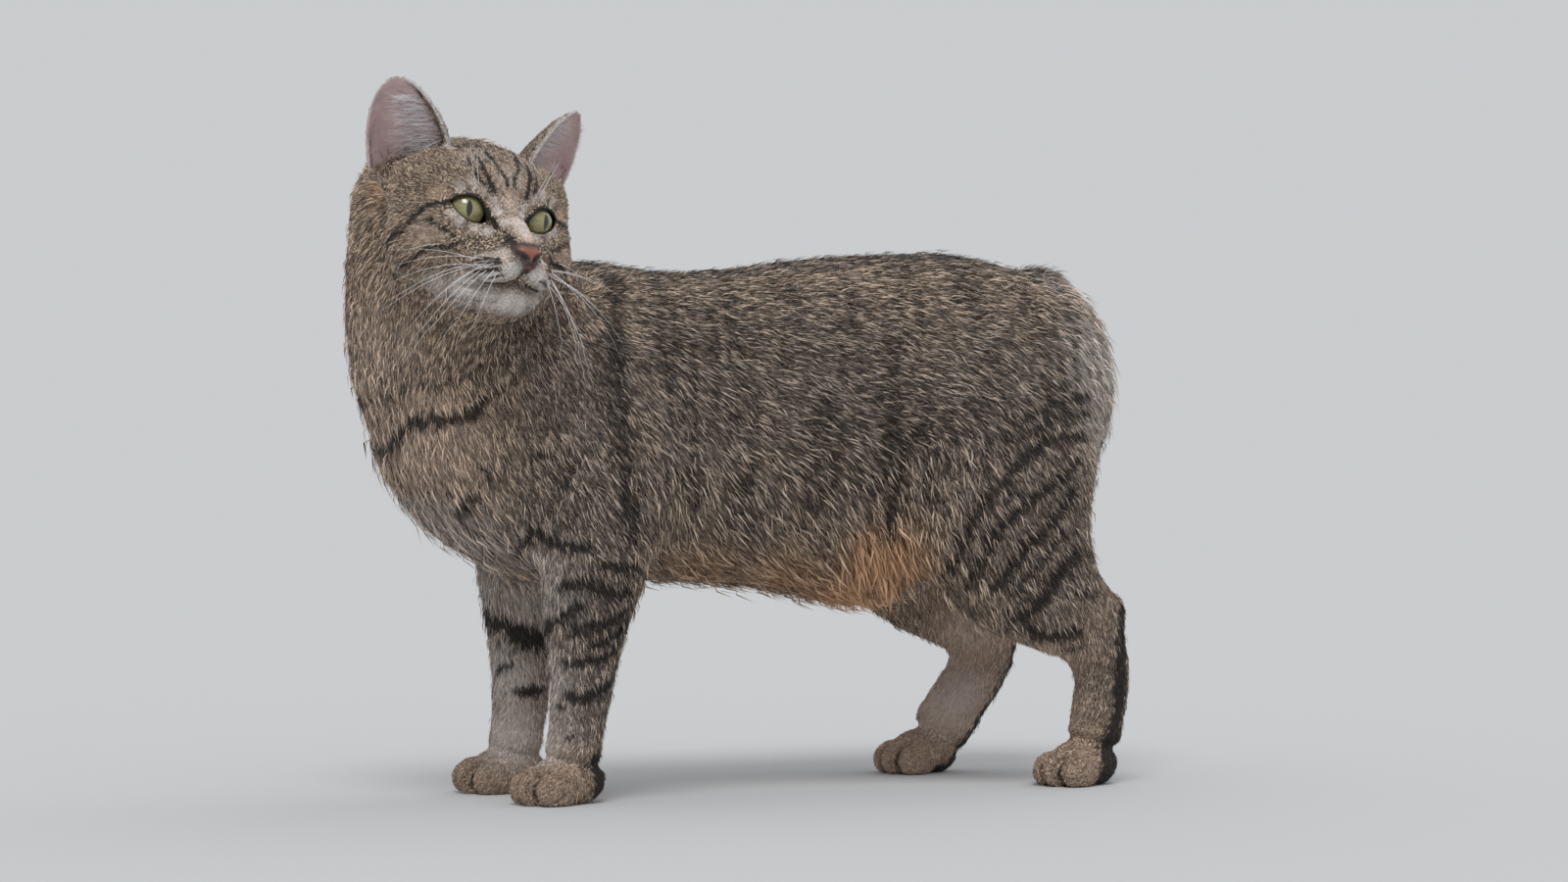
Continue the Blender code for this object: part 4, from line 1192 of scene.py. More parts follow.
def markings_and_painted_light_at(points):
    """How dark, pale, warm and deep the fur is at each point, each from 0 to 1."""
    tones = np.zeros((len(points), 4))
    tones[:, DARK] = streaks_at(points)
    edge = np.maximum(1 + EDGE_WAVER * waver(points), LEAST_EDGE)
    for tone, half_width, strength, path in all_stripes():
        path = np.array(path)
        reach = STRIPE_REACH * half_width
        near = ((points > path.min(0) - reach) & (points < path.max(0) + reach)).all(1)
        away = distance_to_path(points[near], path) / (half_width * edge[near])
        tones[near, tone] = np.maximum(tones[near, tone], strength * np.exp(-(away**STRIPE_EDGE)))
    # Painted shade darkens the fur in the creases between the toes
    tones[:, DARK] = np.maximum(tones[:, DARK], CREASE_SHADE * toe_creases(points))
    for amounts, radius, place in all_patches():
        near = np.abs(points - np.array(place)).max(1) < PATCH_REACH * radius
        away = np.linalg.norm(points[near] - np.array(place), axis=1) / radius
        share = np.exp(-(away**PATCH_EDGE))
        for column, amount in enumerate(amounts):
            if amount:
                tones[near, column] = np.maximum(tones[near, column], amount * share)
    return tones


skin_tones = markings_and_painted_light_at(skin_points)
print("dark share of the skin", round(float((skin_tones[:, 0] > 0.4).mean()), 3))

# %% [markdown]
# ## Materials
#
# Colours are worked out by nodes. Long lists of nodes and links are hard to read, so a small class wraps a
# node's output: a sum or a product of two outputs is then written with plain signs, and one function makes
# any other node.

# %% Wires
class Wire:
    """A socket that gives a number or a colour. Plain signs of arithmetic make Math nodes."""

    def __init__(self, socket):
        self.socket = socket

    def node(self, kind, *inputs, output=0, **settings):
        """Another node in the same tree, with its settings set first and then its sockets."""
        return make_node(self.socket.node.id_data, kind, *inputs, output=output, **settings)

    def maths(self, operation, *values, clamp=False):
        return self.node("ShaderNodeMath", *values, operation=operation, use_clamp=clamp)

    def __add__(self, other):
        return self.maths("ADD", self, other)

    def __radd__(self, other):
        return self.maths("ADD", other, self)

    def __sub__(self, other):
        return self.maths("SUBTRACT", self, other)

    def __rsub__(self, other):
        return self.maths("SUBTRACT", other, self)

    def __mul__(self, other):
        return self.maths("MULTIPLY", self, other)

    def __rmul__(self, other):
        return self.maths("MULTIPLY", other, self)

    def __truediv__(self, other):
        return self.maths("DIVIDE", self, other)

    def __rtruediv__(self, other):
        return self.maths("DIVIDE", other, self)

    def __pow__(self, other):
        return self.maths("POWER", self, other)

    def __rpow__(self, other):
        return self.maths("POWER", other, self)

    def clamped(self):
        return self.maths("ADD", self, 0.0, clamp=True)

    def step(self, start, end):
        """Rises smoothly from 0 at start to 1 at end."""
        return self.node(
            "ShaderNodeMapRange", self, start, end, 0.0, 1.0, interpolation_type="SMOOTHSTEP"
        )

    def mix(self, first, second):
        """The first colour where this number is 0, and the second where it is 1."""
        return self.node("ShaderNodeMix", {0: self, 6: first, 7: second}, output=2, data_type="RGBA")

    def parts(self):
        return [self.node("ShaderNodeSeparateColor", self, output=i) for i in range(3)]

    def places(self):
        return [self.node("ShaderNodeSeparateXYZ", self, output=i) for i in range(3)]


# %% Nodes of any type
def feed(tree, socket, value):
    """Links a wire to a socket, or sets the socket's own value."""
    if isinstance(value, Wire):
        tree.links.new(value.socket, socket)
    elif isinstance(value, tuple) and socket.type == "RGBA":
        socket.default_value = (*value, 1.0)
    else:
        socket.default_value = value


def make_node(tree, kind, *inputs, output=0, **settings):
    node = tree.nodes.new(kind)
    for name, value in settings.items():
        setattr(node, name, value)
    wanted = {}
    for number, value in enumerate(inputs):
        wanted.update(value if isinstance(value, dict) else {number: value})
    for place, value in wanted.items():
        feed(tree, node.inputs[place], value)
    return Wire(node.outputs[output])


# %% A material, and the wires that most materials need
def material(name, paint):
    """A material. paint takes the tree and gives the values or wires of the surface by their names."""
    made = bpy.data.materials.new(name)
    made.use_nodes = True
    tree = made.node_tree
    surface = tree.nodes["Principled BSDF"]
    for key, value in paint(tree).items():
        feed(tree, surface.inputs[key], value)
    return made


def place_wire(tree):
    return make_node(tree, "ShaderNodeTexCoord", output=3)


def noise(tree, scale, detail=3.0):
    inputs = {"Vector": place_wire(tree), "Scale": scale, "Detail": detail}
    return make_node(tree, "ShaderNodeTexNoise", inputs)


# %% [markdown]
# Each hair of a tabby is banded: dark at the root, pale below the tip and black at the tip, and hairs in a
# stripe are black all along. One colour for all hair would look like felt. So every lock has a number of
# its own, its tick, and the lock is pale, brown or black along its length by that number and by the
# markings.

# %% Colours of the coat
# The dark of the roots, and of the skin below the locks, is partly the hair's own colour and partly painted
# shade deep in the coat
FUR_ROOT_AND_SHADE = (0.040, 0.031, 0.026)
FUR_MIDDLE = (0.150, 0.108, 0.080)
FUR_BAND = (0.76, 0.57, 0.41)
FUR_TIP = (0.036, 0.027, 0.022)
FUR_STRIPE = (0.020, 0.0155, 0.0135)
FUR_PALE = (0.86, 0.80, 0.76)
FUR_WARM = (0.70, 0.37, 0.17)
GREYED = (0.64, 0.70, 0.81)
SKIN_PINK = (0.70, 0.52, 0.52)
SKIN_SHADE = (0.54, 0.38, 0.38)
# Black of the pupils and the rings of the eyes, also used as painted shade at the bottoms of the ears and
# in the nostrils
BLACK_AND_SHADE = (0.006, 0.005, 0.004)


def tinted(colour, tint):
    return colour.node("ShaderNodeVectorMath", {0: colour, 1: tint}, operation="MULTIPLY")


def scaled(colour, share):
    return share.node("ShaderNodeVectorMath", {0: colour, 3: share}, operation="SCALE")


# %% The colour of a lock along its length
# Ticks between which a lock turns from brown to pale, and how much deep fur lowers them
PALE_TICKS, DEEP_LOWERS, DEEP_GREYS = (0.34, 0.84), 0.08, 0.8
# Where along a lock the root ends and the tip begins, and how pale a lock must be to keep a pale tip
ROOT_END, TIP_START, PALE_TIPS, TIP_MOST = (0.05, 0.55), (0.6, 0.95), (0.35, 0.6), 0.9
# The light of pale and warm fur: the least, and what tick and length add
LIGHT_LEAST, LIGHT_TICK, LIGHT_ALONG = 0.62, 0.38, 0.1
WARM_MOST, PALE_MOST, STRIPE_MOST = 0.85, 0.95, 0.97
# Where the edge of a stripe lies, and how much it wavers from lock to lock, less in pale fur
STRIPE_START, EDGE_TICKED, EDGE_PALE = (0.08, 0.72), 0.55, 0.35


def coat_colour(tree, tick, along):
    """The colour of ticked fur. tick differs from lock to lock, and along runs from root to tip."""
    marks = make_node(tree, "ShaderNodeAttribute", attribute_name="markings_and_painted_light")
    dark, pale, warm = marks.parts()
    deep = Wire(marks.socket.node.outputs["Alpha"])
    lit = (tick - deep * DEEP_LOWERS).step(*PALE_TICKS)
    band = lit.mix(FUR_MIDDLE, FUR_BAND)
    lower = along.step(*ROOT_END).mix(FUR_ROOT_AND_SHADE, band)
    tip = lit.step(*PALE_TIPS).mix(FUR_TIP, band)
    ticked = (along.step(*TIP_START) * TIP_MOST).mix(lower, tip)
    ticked = (deep * DEEP_GREYS).mix(ticked, tinted(ticked, GREYED))
    light = LIGHT_LEAST + tick * LIGHT_TICK + along * LIGHT_ALONG
    warmed = (warm * WARM_MOST).mix(ticked, scaled(FUR_WARM, light))
    paled = (pale * PALE_MOST).mix(warmed, scaled(FUR_PALE, light))
    edge = (dark - (tick - 0.5) * (EDGE_TICKED - pale * EDGE_PALE)).step(*STRIPE_START)
    return (edge * STRIPE_MOST).mix(paled, FUR_STRIPE)


# %% Materials of the coat and the skin
def paint_coat(tree):
    tick, along, _ = make_node(tree, "ShaderNodeAttribute", attribute_name="lock").parts()
    return {
        "Base Color": coat_colour(tree, tick, along),
        "Roughness": 0.52,
        "Specular IOR Level": 0.32,
        "Sheen Weight": 0.12,
        "Sheen Roughness": 0.45,
    }


def paint_skin(tree):
    """Below the hair, the skin has the colours of short fur near its roots, whose dark is partly painted
    shade. Inside the ears it is pink, with painted shade at the bottom.
    """
    tick = noise(tree, 900.0).step(0.3, 0.7)
    bare, shade, _ = make_node(tree, "ShaderNodeAttribute", attribute_name="bare").parts()
    fur = coat_colour(tree, tick * 0.8, tick * 0.35 + 0.12)
    lilac = noise(tree, 120.0).step(0.3, 0.7).mix(SKIN_SHADE, SKIN_PINK)
    # Painted shade: the bottom of each ear is darkened almost to black
    inside = (shade * 0.9).mix(lilac, BLACK_AND_SHADE)
    height = noise(tree, 1400.0, 2.0)
    bump = make_node(tree, "ShaderNodeBump", {"Strength": 0.45, "Distance": 0.0004, "Height": height})
    return {
        "Base Color": bare.mix(fur, inside),
        "Roughness": 0.72,
        "Specular IOR Level": 0.25,
        "Normal": bump,
    }


coat_material = material("coat", paint_coat)
skin_material = material("skin", paint_skin)

# %% [markdown]
# ## The visible skin
#
# The dense skin was needed to draw fine markings on. What shows of it below the hair can be lighter, so its
# triangles are collapsed where it is flat, and each remaining vertex takes the values of the nearest
# triangle of the dense one. Where the cat is bare, on the nose and inside the ears, the skin shows its own
# colour, and the soles and the rims of the eyes are dark. The bottom of each ear is darkened with painted
# shade.

# %% The outline of the nose leather
LEATHER_TOP, LEATHER_BOTTOM, LEATHER_HALF_WIDTH = -14.8, -28.8, 7.9
# The leather is only on what is further forward than this
LEATHER_FRONT = 24
# How the leather widens from the groove upwards, and how it narrows again at its very top
LEATHER_WIDENING, LEATHER_FLARE, LEATHER_NARROWING, LEATHER_CORNER = 1.25, 0.75, 0.55, 7


def leather_half_width(height):
    """Half the width of the leather at a height: broad at its top, a point at the groove."""
    share = np.clip((height - LEATHER_BOTTOM) / (LEATHER_TOP - LEATHER_BOTTOM), 0, 1)
    narrowing = 1 - LEATHER_NARROWING * share**LEATHER_CORNER
    return LEATHER_HALF_WIDTH * LEATHER_WIDENING * share**LEATHER_FLARE * narrowing


def on_leather(places, margin):
    """True for places on the leather, or less than margin beside it."""
    ahead, out, high = places.T
    inside = np.abs(out) < leather_half_width(high) + margin
    level = (high < LEATHER_TOP + margin) & (high > LEATHER_BOTTOM - margin)
    return (ahead > LEATHER_FRONT) & inside & level


# %% Distances on the head
def eye_distance(places):
    """Distance from the middle of the nearer eye, in millimetres."""
    away = [np.linalg.norm(places - np.array(mirrored(EYE_PLACE, side)), axis=1) for side in (1, -1)]
    return np.min(away, axis=0)


def ear_height(places):
    """How far up its own side's ear each place is, in millimetres."""
    found = np.zeros(len(places))
    for side in (1, -1):
        base, _, rise, _, _ = ear_axes(side)
        here = places[:, 1] * side > 0
        found[here] = ((places - np.array(base)) @ np.array(rise))[here]
    return found


# %% Inside the ears
# How squarely a point inside an ear faces its opening, or how near the bowl it is
CUP_FACING, CUP_BOWL = 0.25, 1.06
# Where across an ear its inner face grows furry, over what share, and how furry it gets
FURRY_START, FURRY_BLEND, FURRY_MOST = 0.62, 0.22, 0.85
# The share of locks that stays on the bare part of an ear, as down
DOWN_SHARE = 0.04


def in_ear_cup(places, normals, parts):
    """True for points on the inner face of an ear."""
    ear = np.isin(parts, [node_names.index(name) for name in ("ear_l", "ear_r")])
    turned = normals @ np.array(HEAD_TURN)
    opening = np.array([ear_axes(side)[3] for side in (-1, 1)])
    facing = (turned * opening[(places[:, 1] > 0).astype(int)]).sum(1)
    return ear & (facing > CUP_FACING) | (bowl_distance(places) < CUP_BOWL)


def furry_share(places):
    """How furry the inner face of an ear is, from 0 to 1."""
    return np.clip((ear_across(places) - FURRY_START) / FURRY_BLEND, 0, 1)


# %% Bare and dark places of the skin
RIM_REACH = 1.1
SOLE_HEIGHT, SOLE_FACING = 1.2 * MM, -0.5
LEATHER_MARGIN = 0.3
BARE_ROUNDS = 4
# How high in an ear the painted shade of its bottom ends, and over what height it fades
BOWL_SHADE_TOP, BOWL_SHADE_BLEND = 9.0, 9.0

skin_bare = in_ear_cup(skin_places, skin_normals, skin_parts) * (1 - furry_share(skin_places))
skin_bare[on_leather(skin_places, LEATHER_MARGIN)] = 1
skin_bare = spread(skin_mesh, skin_bare, BARE_ROUNDS)
skin_rims = eye_distance(skin_places) < EYE_RADIUS + RIM_REACH
skin_soles = (skin_points[:, 2] < SOLE_HEIGHT) & (skin_normals[:, 2] < SOLE_FACING)
skin_tones[skin_rims | skin_soles] = (1, 0, 0, 0)
# Painted shade at the bottom of each ear: the lower in the ear, the darker its skin
skin_shade = np.clip((BOWL_SHADE_TOP - ear_height(skin_places)) / BOWL_SHADE_BLEND, 0, 1)
print("bare share of the skin", round(float((skin_bare > 0.5).mean()), 3))


# %% Numbers on vertices
def set_values(mesh, name, values):
    """Keeps up to four numbers on each vertex, as a colour."""
    layer = mesh.attributes.new(name, "FLOAT_COLOR", "POINT")
    full = np.ones((len(values), 4), np.float32)
    full[:, : values.shape[1]] = values
    layer.data.foreach_set("color", full.ravel())


# %% The lighter mesh and its values
SKIN_TRIANGLES = 190000

skin = mesh_object("skin", skin_mesh)
collapse = skin.modifiers.new("collapse", "DECIMATE")
collapse.ratio = min(1.0, SKIN_TRIANGLES / len(skin_triangles))
shown_mesh = apply_modifiers(skin)
shown_mesh.shade_smooth()
shown_points = points_of(shown_mesh)
hits = [skin_tree.find_nearest(point)[2] for point in shown_points.tolist()]
nearest = skin_triangles[np.array(hits)]
set_values(shown_mesh, "markings_and_painted_light", skin_tones[nearest].mean(1))
set_values(shown_mesh, "bare", np.stack([skin_bare, skin_shade], 1)[nearest].mean(1))
set_points(shown_mesh, leaned(shown_points))
skin = mesh_object("skin", shown_mesh, skin_material)
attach(skin, "root")
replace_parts(skin, *FLESH)
print("visible skin", len(shown_mesh.polygons), "triangles")

# %% [markdown]
# ## The coat
#
# A cat has some hundred hairs on each square millimetre, far too many to make one by one. Hairs lie
# together in small locks, and a lock is what the eye sees, so each lock is one flat shape: a kite of two
# triangles, with a root, a wide middle that is lifted off the skin, and a tip that bends back down to it.
# Roots are strewn at random over the skin, closer together where the hair is shorter.

# %% The pieces of the coat
# The solids that a piece grows on, the side of the body or None for both, and its number of locks
COAT = {
    "coat_head": (("head", "nose", "eye_l", "eye_r"), None, 98000),
    "coat_ears": (("ear_l", "ear_r"), None, 36000),
    "coat_neck": (("neck",), None, 84000),
    "coat_torso_l": (("torso",), -1, 97000),
    "coat_torso_r": (("torso",), 1, 97000),
    "coat_foreleg_l": (("shoulder_l", "foreleg_l", "forepaw_l"), None, 88000),
    "coat_foreleg_r": (("shoulder_r", "foreleg_r", "forepaw_r"), None, 88000),
    "coat_hindleg_l": (("thigh_l", "shank_l", "hindfoot_l", "hindpaw_l"), None, 84000),
    "coat_hindleg_r": (("thigh_r", "shank_r", "hindfoot_r", "hindpaw_r"), None, 84000),
}

# %% Strewing the roots
# The power of the hair's length by which roots lie closer together
DENSER_SHORT = 1.25

skin_values = np.hstack([skin_points, skin_normals, skin_lie, skin_length[:, None], skin_lift[:, None]])
lid_lines = [np.array(lid_edge(side, LID_RADIUS)) for side in (1, -1)]


def strewn_roots(chosen, count):
    """Values of the skin at random places on the chosen triangles."""
    corners = skin_triangles[chosen]
    a, b, c = (skin_points[corners[:, i]] for i in range(3))
    area = np.linalg.norm(np.cross(b - a, c - a), axis=1)
    reach = np.cumsum(area / skin_length[corners[:, 0]] ** DENSER_SHORT)
    picked = corners[np.searchsorted(reach, chance.uniform(0, reach[-1], count))]
    first, second = np.sqrt(chance.uniform(size=count)), chance.uniform(size=count)
    shares = np.stack([1 - first, first * (1 - second), first * second], 1)
    return (skin_values[picked] * shares[:, :, None]).sum(1)


# Soles and leather count as hairless a little further than they are painted
HAIRLESS_FACING, HAIRLESS_MARGIN = -0.4, 0.5


def free_of_hair(places, points, normals):
    """True where no hair grows: on the rims of the eyes, the nose leather and the soles."""
    rims = eye_distance(places) < EYE_RADIUS + RIM_REACH
    soles = (points[:, 2] < SOLE_HEIGHT) & (normals[:, 2] < HAIRLESS_FACING)
    return rims | soles | on_leather(places, HAIRLESS_MARGIN)


# %% [markdown]
# Every lock also gets a small patch on a flat map, so that its colours can be kept in a picture later. The
# map has the skin's own shape: the six sides of a box around the piece, in three columns and two rows.

# %% A flat map of each piece
PATCH_HALF = 0.0015
PATCH_MARGIN = 0.01
# The patch's corners, one for each corner of a lock
PATCH = np.array(((0, -1), (1, 0), (-1, 0), (0, 1))) * PATCH_HALF


def box_map(points, normals):
    """A place on a flat map for each point, from the side of a box that it faces."""
    axis = np.abs(normals).argmax(1)
    turned = np.take_along_axis(normals, axis[:, None], 1)[:, 0] < 0
    low, high = points.min(0), points.max(0)
    shares = (points - low) / (high - low)
    across = np.where(axis == 0, shares[:, 1], shares[:, 0])
    upwards = np.where(axis == 2, shares[:, 1], shares[:, 2])
    span = 1 - 2 * PATCH_MARGIN
    return np.stack([
        (axis + PATCH_MARGIN + span * across) / 3,
        (turned + PATCH_MARGIN + span * upwards) / 2,
    ], 1)


# %% The shape of a lock
ROOT_DEPTH = 0.25 * MM
FLOOR_ROOM = 0.15 * MM
# Where along its length a lock is widest, and how much flatter than the rest its outer part lies
LOCK_MIDDLE, TIP_FLATTER = 0.45, 0.25
# Locks in a tuft, how far tips and middles are drawn to its own, and how like its tick they are
TUFT_SIZE, TUFT_PULL, TUFT_MIDDLE, TUFT_TICK = 7, 0.36, 0.3, 0.30


def column(values):
    return values[:, None]


def tufts(roots):
    """For each lock, the number of the lock in the middle of its tuft."""
    middles = chance.permutation(len(roots))[: len(roots) // TUFT_SIZE + 1]
    tree = KDTree(len(middles))
    for number in middles.tolist():
        tree.insert(roots[number], number)
    tree.balance()
    return np.array([tree.find(root)[1] for root in roots.tolist()])


def kites(roots, normals, ways, lengths, widths, lifts, rolls):
    """The four corners of each lock, whose tips lean together in tufts, and its tuft's middle lock."""
    across = np.cross(ways, normals)
    first = ways * column(np.cos(lifts)) + normals * column(np.sin(lifts))
    second = ways * column(np.cos(lifts * TIP_FLATTER)) + normals * column(np.sin(lifts * TIP_FLATTER))
    wide = (across * column(np.cos(rolls)) + normals * column(np.sin(rolls))) * column(widths / 2)
    start = roots - normals * ROOT_DEPTH
    middle = start + first * column(lengths * LOCK_MIDDLE)
    tip = middle + second * column(lengths * (1 - LOCK_MIDDLE))
    tuft = tufts(roots)
    middle += (middle[tuft] - middle) * TUFT_PULL * TUFT_MIDDLE
    tip += (tip[tuft] - tip) * TUFT_PULL
    corners = np.stack([start, middle + wide, middle - wide, tip], 1).reshape(-1, 3)
    corners[:, 2] = np.maximum(corners[:, 2], FLOOR_ROOM)
    return corners, tuft


# %% An object of many locks
# The two triangles of a lock, and how far along it each of its four corners counts as
LOCK_FACES = np.array(((0, 1, 2), (1, 3, 2)))
LOCK_ALONG = np.array((0.0, 0.5, 0.5, 1.0))


def locks_object(name, corners, tones, ticks, flat_places, paint):
    """An object of locks, with their tones, ticks and patches on the flat map."""
    count = len(ticks)
    faces = (np.arange(count)[:, None, None] * 4 + LOCK_FACES).reshape(-1, 3)
    obj = object_from(name, leaned(corners), faces, paint)
    set_values(obj.data, "markings_and_painted_light", np.repeat(tones, 4, 0))
    lock = np.stack([np.repeat(ticks, 4), np.tile(LOCK_ALONG, count), np.zeros(count * 4)], 1)
    set_values(obj.data, "lock", lock)
    patches = (flat_places[:, None, :] + PATCH).reshape(-1, 2)
    layer = obj.data.uv_layers.new(name="OFBake")
    layer.data.foreach_set("uv", patches[faces.ravel()].astype(np.float32).ravel())
    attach(obj, "root")
    return obj


# %% [markdown]
# Real fur is never even. Neighbouring locks turn and lift in soft waves, some locks point their own way,
# and a few long guard hairs stand out of the rest. Near the eyes the hair is cut short by the room there
# is, and inside the ears only some down grows.

# %% Numbers for growing hair
# The width of a lock in metres: a share that all have, and what each metre of length adds
LOCK_WIDTH = (0.16 * MM, 0.040)
# How far a lock turns from the lie of the coat, in radians: in soft waves, and by chance
TURN_WAVE, TURN_CHANCE, TURN_FINER = 0.24, 0.22, 2.2
LENGTH_RANGE = (0.75, 1.15)
LIFT_WAVE, LIFT_CHANCE, LIFT_FINER, LIFT_RANGE = 0.35, 0.4, 3.1, (0.15, 2.6)
ROLL_CHANCE = 0.5
GUARD_SHARE, GUARD_LENGTH, GUARD_LIFT, GUARD_TICK = 0.06, 1.45, 1.7, 0.15
# Hair at the eyes is at most this share of the way to the lids, and at least this many millimetres long
EYE_ROOM, EYE_SHORTEST = 0.8, 0.7
TICK_MEAN, TICK_CHANCE, TICK_WAVE, TICK_FINER = 0.5, 0.27, 0.1, 4.0
# Short hair is calmer: ticks are drawn to the middle one where the hair is shorter than this length
CALM_LENGTH, CALM_RANGE, TICK_MIDDLE = 5.0 * MM, (0.58, 1.0), 0.54


# %% Growing one piece of the coat
def grown(name, part_names, half, count):
    """Grows a piece of the coat on the named solids, and gives its number of locks."""
    chosen_parts = [node_names.index(part) for part in part_names]
    chosen = np.isin(skin_parts[skin_triangles[:, 0]], chosen_parts)
    if half is not None:
        chosen &= (skin_points[skin_triangles[:, 0], 1] - MIDDLE_Y) * half > 0
    count = int(count * (1))
    values = strewn_roots(chosen, count)
    places = head_places(values[:, :3])
    values = values[~free_of_hair(places, values[:, :3], values[:, 3:6])]
    points, normals, lies = values[:, :3], unit(values[:, 3:6]), values[:, 6:9]
    lengths, lifts = values[:, 9] * MM, np.radians(values[:, 10])
    places = head_places(points)
    if "head" in part_names:
        room = np.min([distance_to_path(places, np.vstack([line, line[:1]])) for line in lid_lines], axis=0)
        lengths = np.minimum(lengths, np.maximum(room * EYE_ROOM, EYE_SHORTEST) * MM)
    cup = in_ear_cup(places, normals, np.full(len(points), node_names.index(part_names[0])))
    keep = ~cup | (chance.uniform(size=len(points)) < DOWN_SHARE + FURRY_MOST * furry_share(places))
    points, normals, lies, lengths, lifts = (each[keep] for each in (points, normals, lies, lengths, lifts))
    count = len(points)
    calm = np.clip(lengths / CALM_LENGTH, *CALM_RANGE)
    along = unit(lies - normals * column((lies * normals).sum(1)))
    angle = TURN_WAVE * waver(points, TURN_FINER) + chance.normal(0, TURN_CHANCE, count)
    ways = along * column(np.cos(angle)) + np.cross(normals, along) * column(np.sin(angle))
    guard = chance.uniform(size=count) < GUARD_SHARE
    lengths = lengths * chance.uniform(*LENGTH_RANGE, count) * np.where(guard, GUARD_LENGTH, 1)
    lift_shares = 1 + LIFT_WAVE * waver(points, LIFT_FINER) + chance.normal(0, LIFT_CHANCE, count)
    lifts = lifts * np.clip(lift_shares, *LIFT_RANGE)
    lifts = lifts * np.where(guard, GUARD_LIFT, 1)
    widths = LOCK_WIDTH[0] + LOCK_WIDTH[1] * lengths
    rolls = chance.normal(0, ROLL_CHANCE, count)
    corners, tuft = kites(points, normals, ways, lengths, widths, lifts, rolls)
    ticks = chance.normal(TICK_MEAN, TICK_CHANCE, count)
    ticks = ticks + TUFT_TICK * (ticks[tuft] - ticks)
    ticks = ticks + TICK_WAVE * waver(points, TICK_FINER) + GUARD_TICK * guard
    ticks = np.clip(TICK_MIDDLE + (ticks - TICK_MIDDLE) * calm, 0, 1)
    obj = locks_object(name, corners, markings_and_painted_light_at(points), ticks, box_map(points, normals), coat_material)
    "ear" if "ear_l" in part_names else "coat"
    return count


# %% Growing the whole coat
total = 0
for name, (part_names, half, count) in COAT.items():
    total += grown(name, part_names, half, count)
print("locks", total)

# %% [markdown]
# ## Eyes
#
# A cat's eye has a clear front over a coloured iris. Glass over a painted disc would need two surfaces and
# light bent between them, so here one ball bulges at the front, and a clear gloss on it gives the
# highlight. Its colours depend on the distance from the middle of the iris: a slit pupil, a yellow-green
# iris with fine rays, and a dark ring around it. The object's own directions carry the pattern, so both
# eyes share one material.

# %% Colours of the eyes
IRIS_RADIUS, PUPIL_HALF_WIDTH, PUPIL_HALF_HEIGHT = 8.7, 1.45, 4.3
IRIS_OUTER, IRIS_INNER = (0.215, 0.200, 0.078), (0.37, 0.345, 0.155)
# The dark ring starts and is full this far inside the edge of the iris
RING_START, RING_FULL = 1.5, 0.1
# The rays of the iris: how fine they are, and how much they shift and darken its colours
RAY_SCALE, RAY_DETAIL, RAY_SHIFT, RAY_DARKEN = 9.0, 5.0, 0.5, 0.35
# How much the upper lid's shade darkens the top of the eye, and over what share of the iris
LID_SHADE, LID_SHADE_SPAN = 0.6, (0.0, 0.8)


def direction_wire(tree):
    """The direction round the middle of the iris, so that noise on it makes rays."""
    where = make_node(tree, "ShaderNodeTexCoord", output=3)
    flat = where.node("ShaderNodeVectorMath", {0: where, 1: (0.0, 1.0, 1.0)}, operation="MULTIPLY")
    return where.node("ShaderNodeVectorMath", {0: flat}, operation="NORMALIZE")


def paint_eye(tree):
    _, across, high = make_node(tree, "ShaderNodeTexCoord", output=3).places()
    across, high = across * 1000, high * 1000
    radius = (across**2 + high**2) ** 0.5
    inputs = {"Vector": direction_wire(tree), "Scale": RAY_SCALE, "Detail": RAY_DETAIL}
    rays = make_node(tree, "ShaderNodeTexNoise", inputs)
    share = radius / IRIS_RADIUS + (rays - 0.5) * RAY_SHIFT
    iris = share.step(0.2, 0.85).mix(IRIS_INNER, IRIS_OUTER)
    shaded = (rays.step(0.3, 0.7) * RAY_DARKEN).mix(iris, scaled(IRIS_OUTER, rays * 0.9))
    lidded = (high / IRIS_RADIUS).step(*LID_SHADE_SPAN) * LID_SHADE
    shaded = lidded.mix(shaded, scaled(IRIS_OUTER, rays * 0.5 + 0.15))
    ringed = radius.step(IRIS_RADIUS - RING_START, IRIS_RADIUS - RING_FULL).mix(shaded, BLACK_AND_SHADE)
    slit = across.maths("ABSOLUTE", across) / PUPIL_HALF_WIDTH + (high / PUPIL_HALF_HEIGHT) ** 2
    return {
        "Base Color": slit.step(0.9, 1.12).mix(BLACK_AND_SHADE, ringed),
        "Roughness": 0.12,
        "Specular IOR Level": 0.5,
        "Coat Weight": 1.0,
        "Coat Roughness": 0.02,
    }


# %% Eyeballs
EYE_RINGS, EYE_SPOKES = 40, 64
# How far the clear front bulges in millimetres, and how wide the bulge is in radians
CORNEA_BULGE, CORNEA_SPREAD = 0.95, 0.52
# An eyeball's radius is this much less than the solid one's
EYE_GAP = 0.1


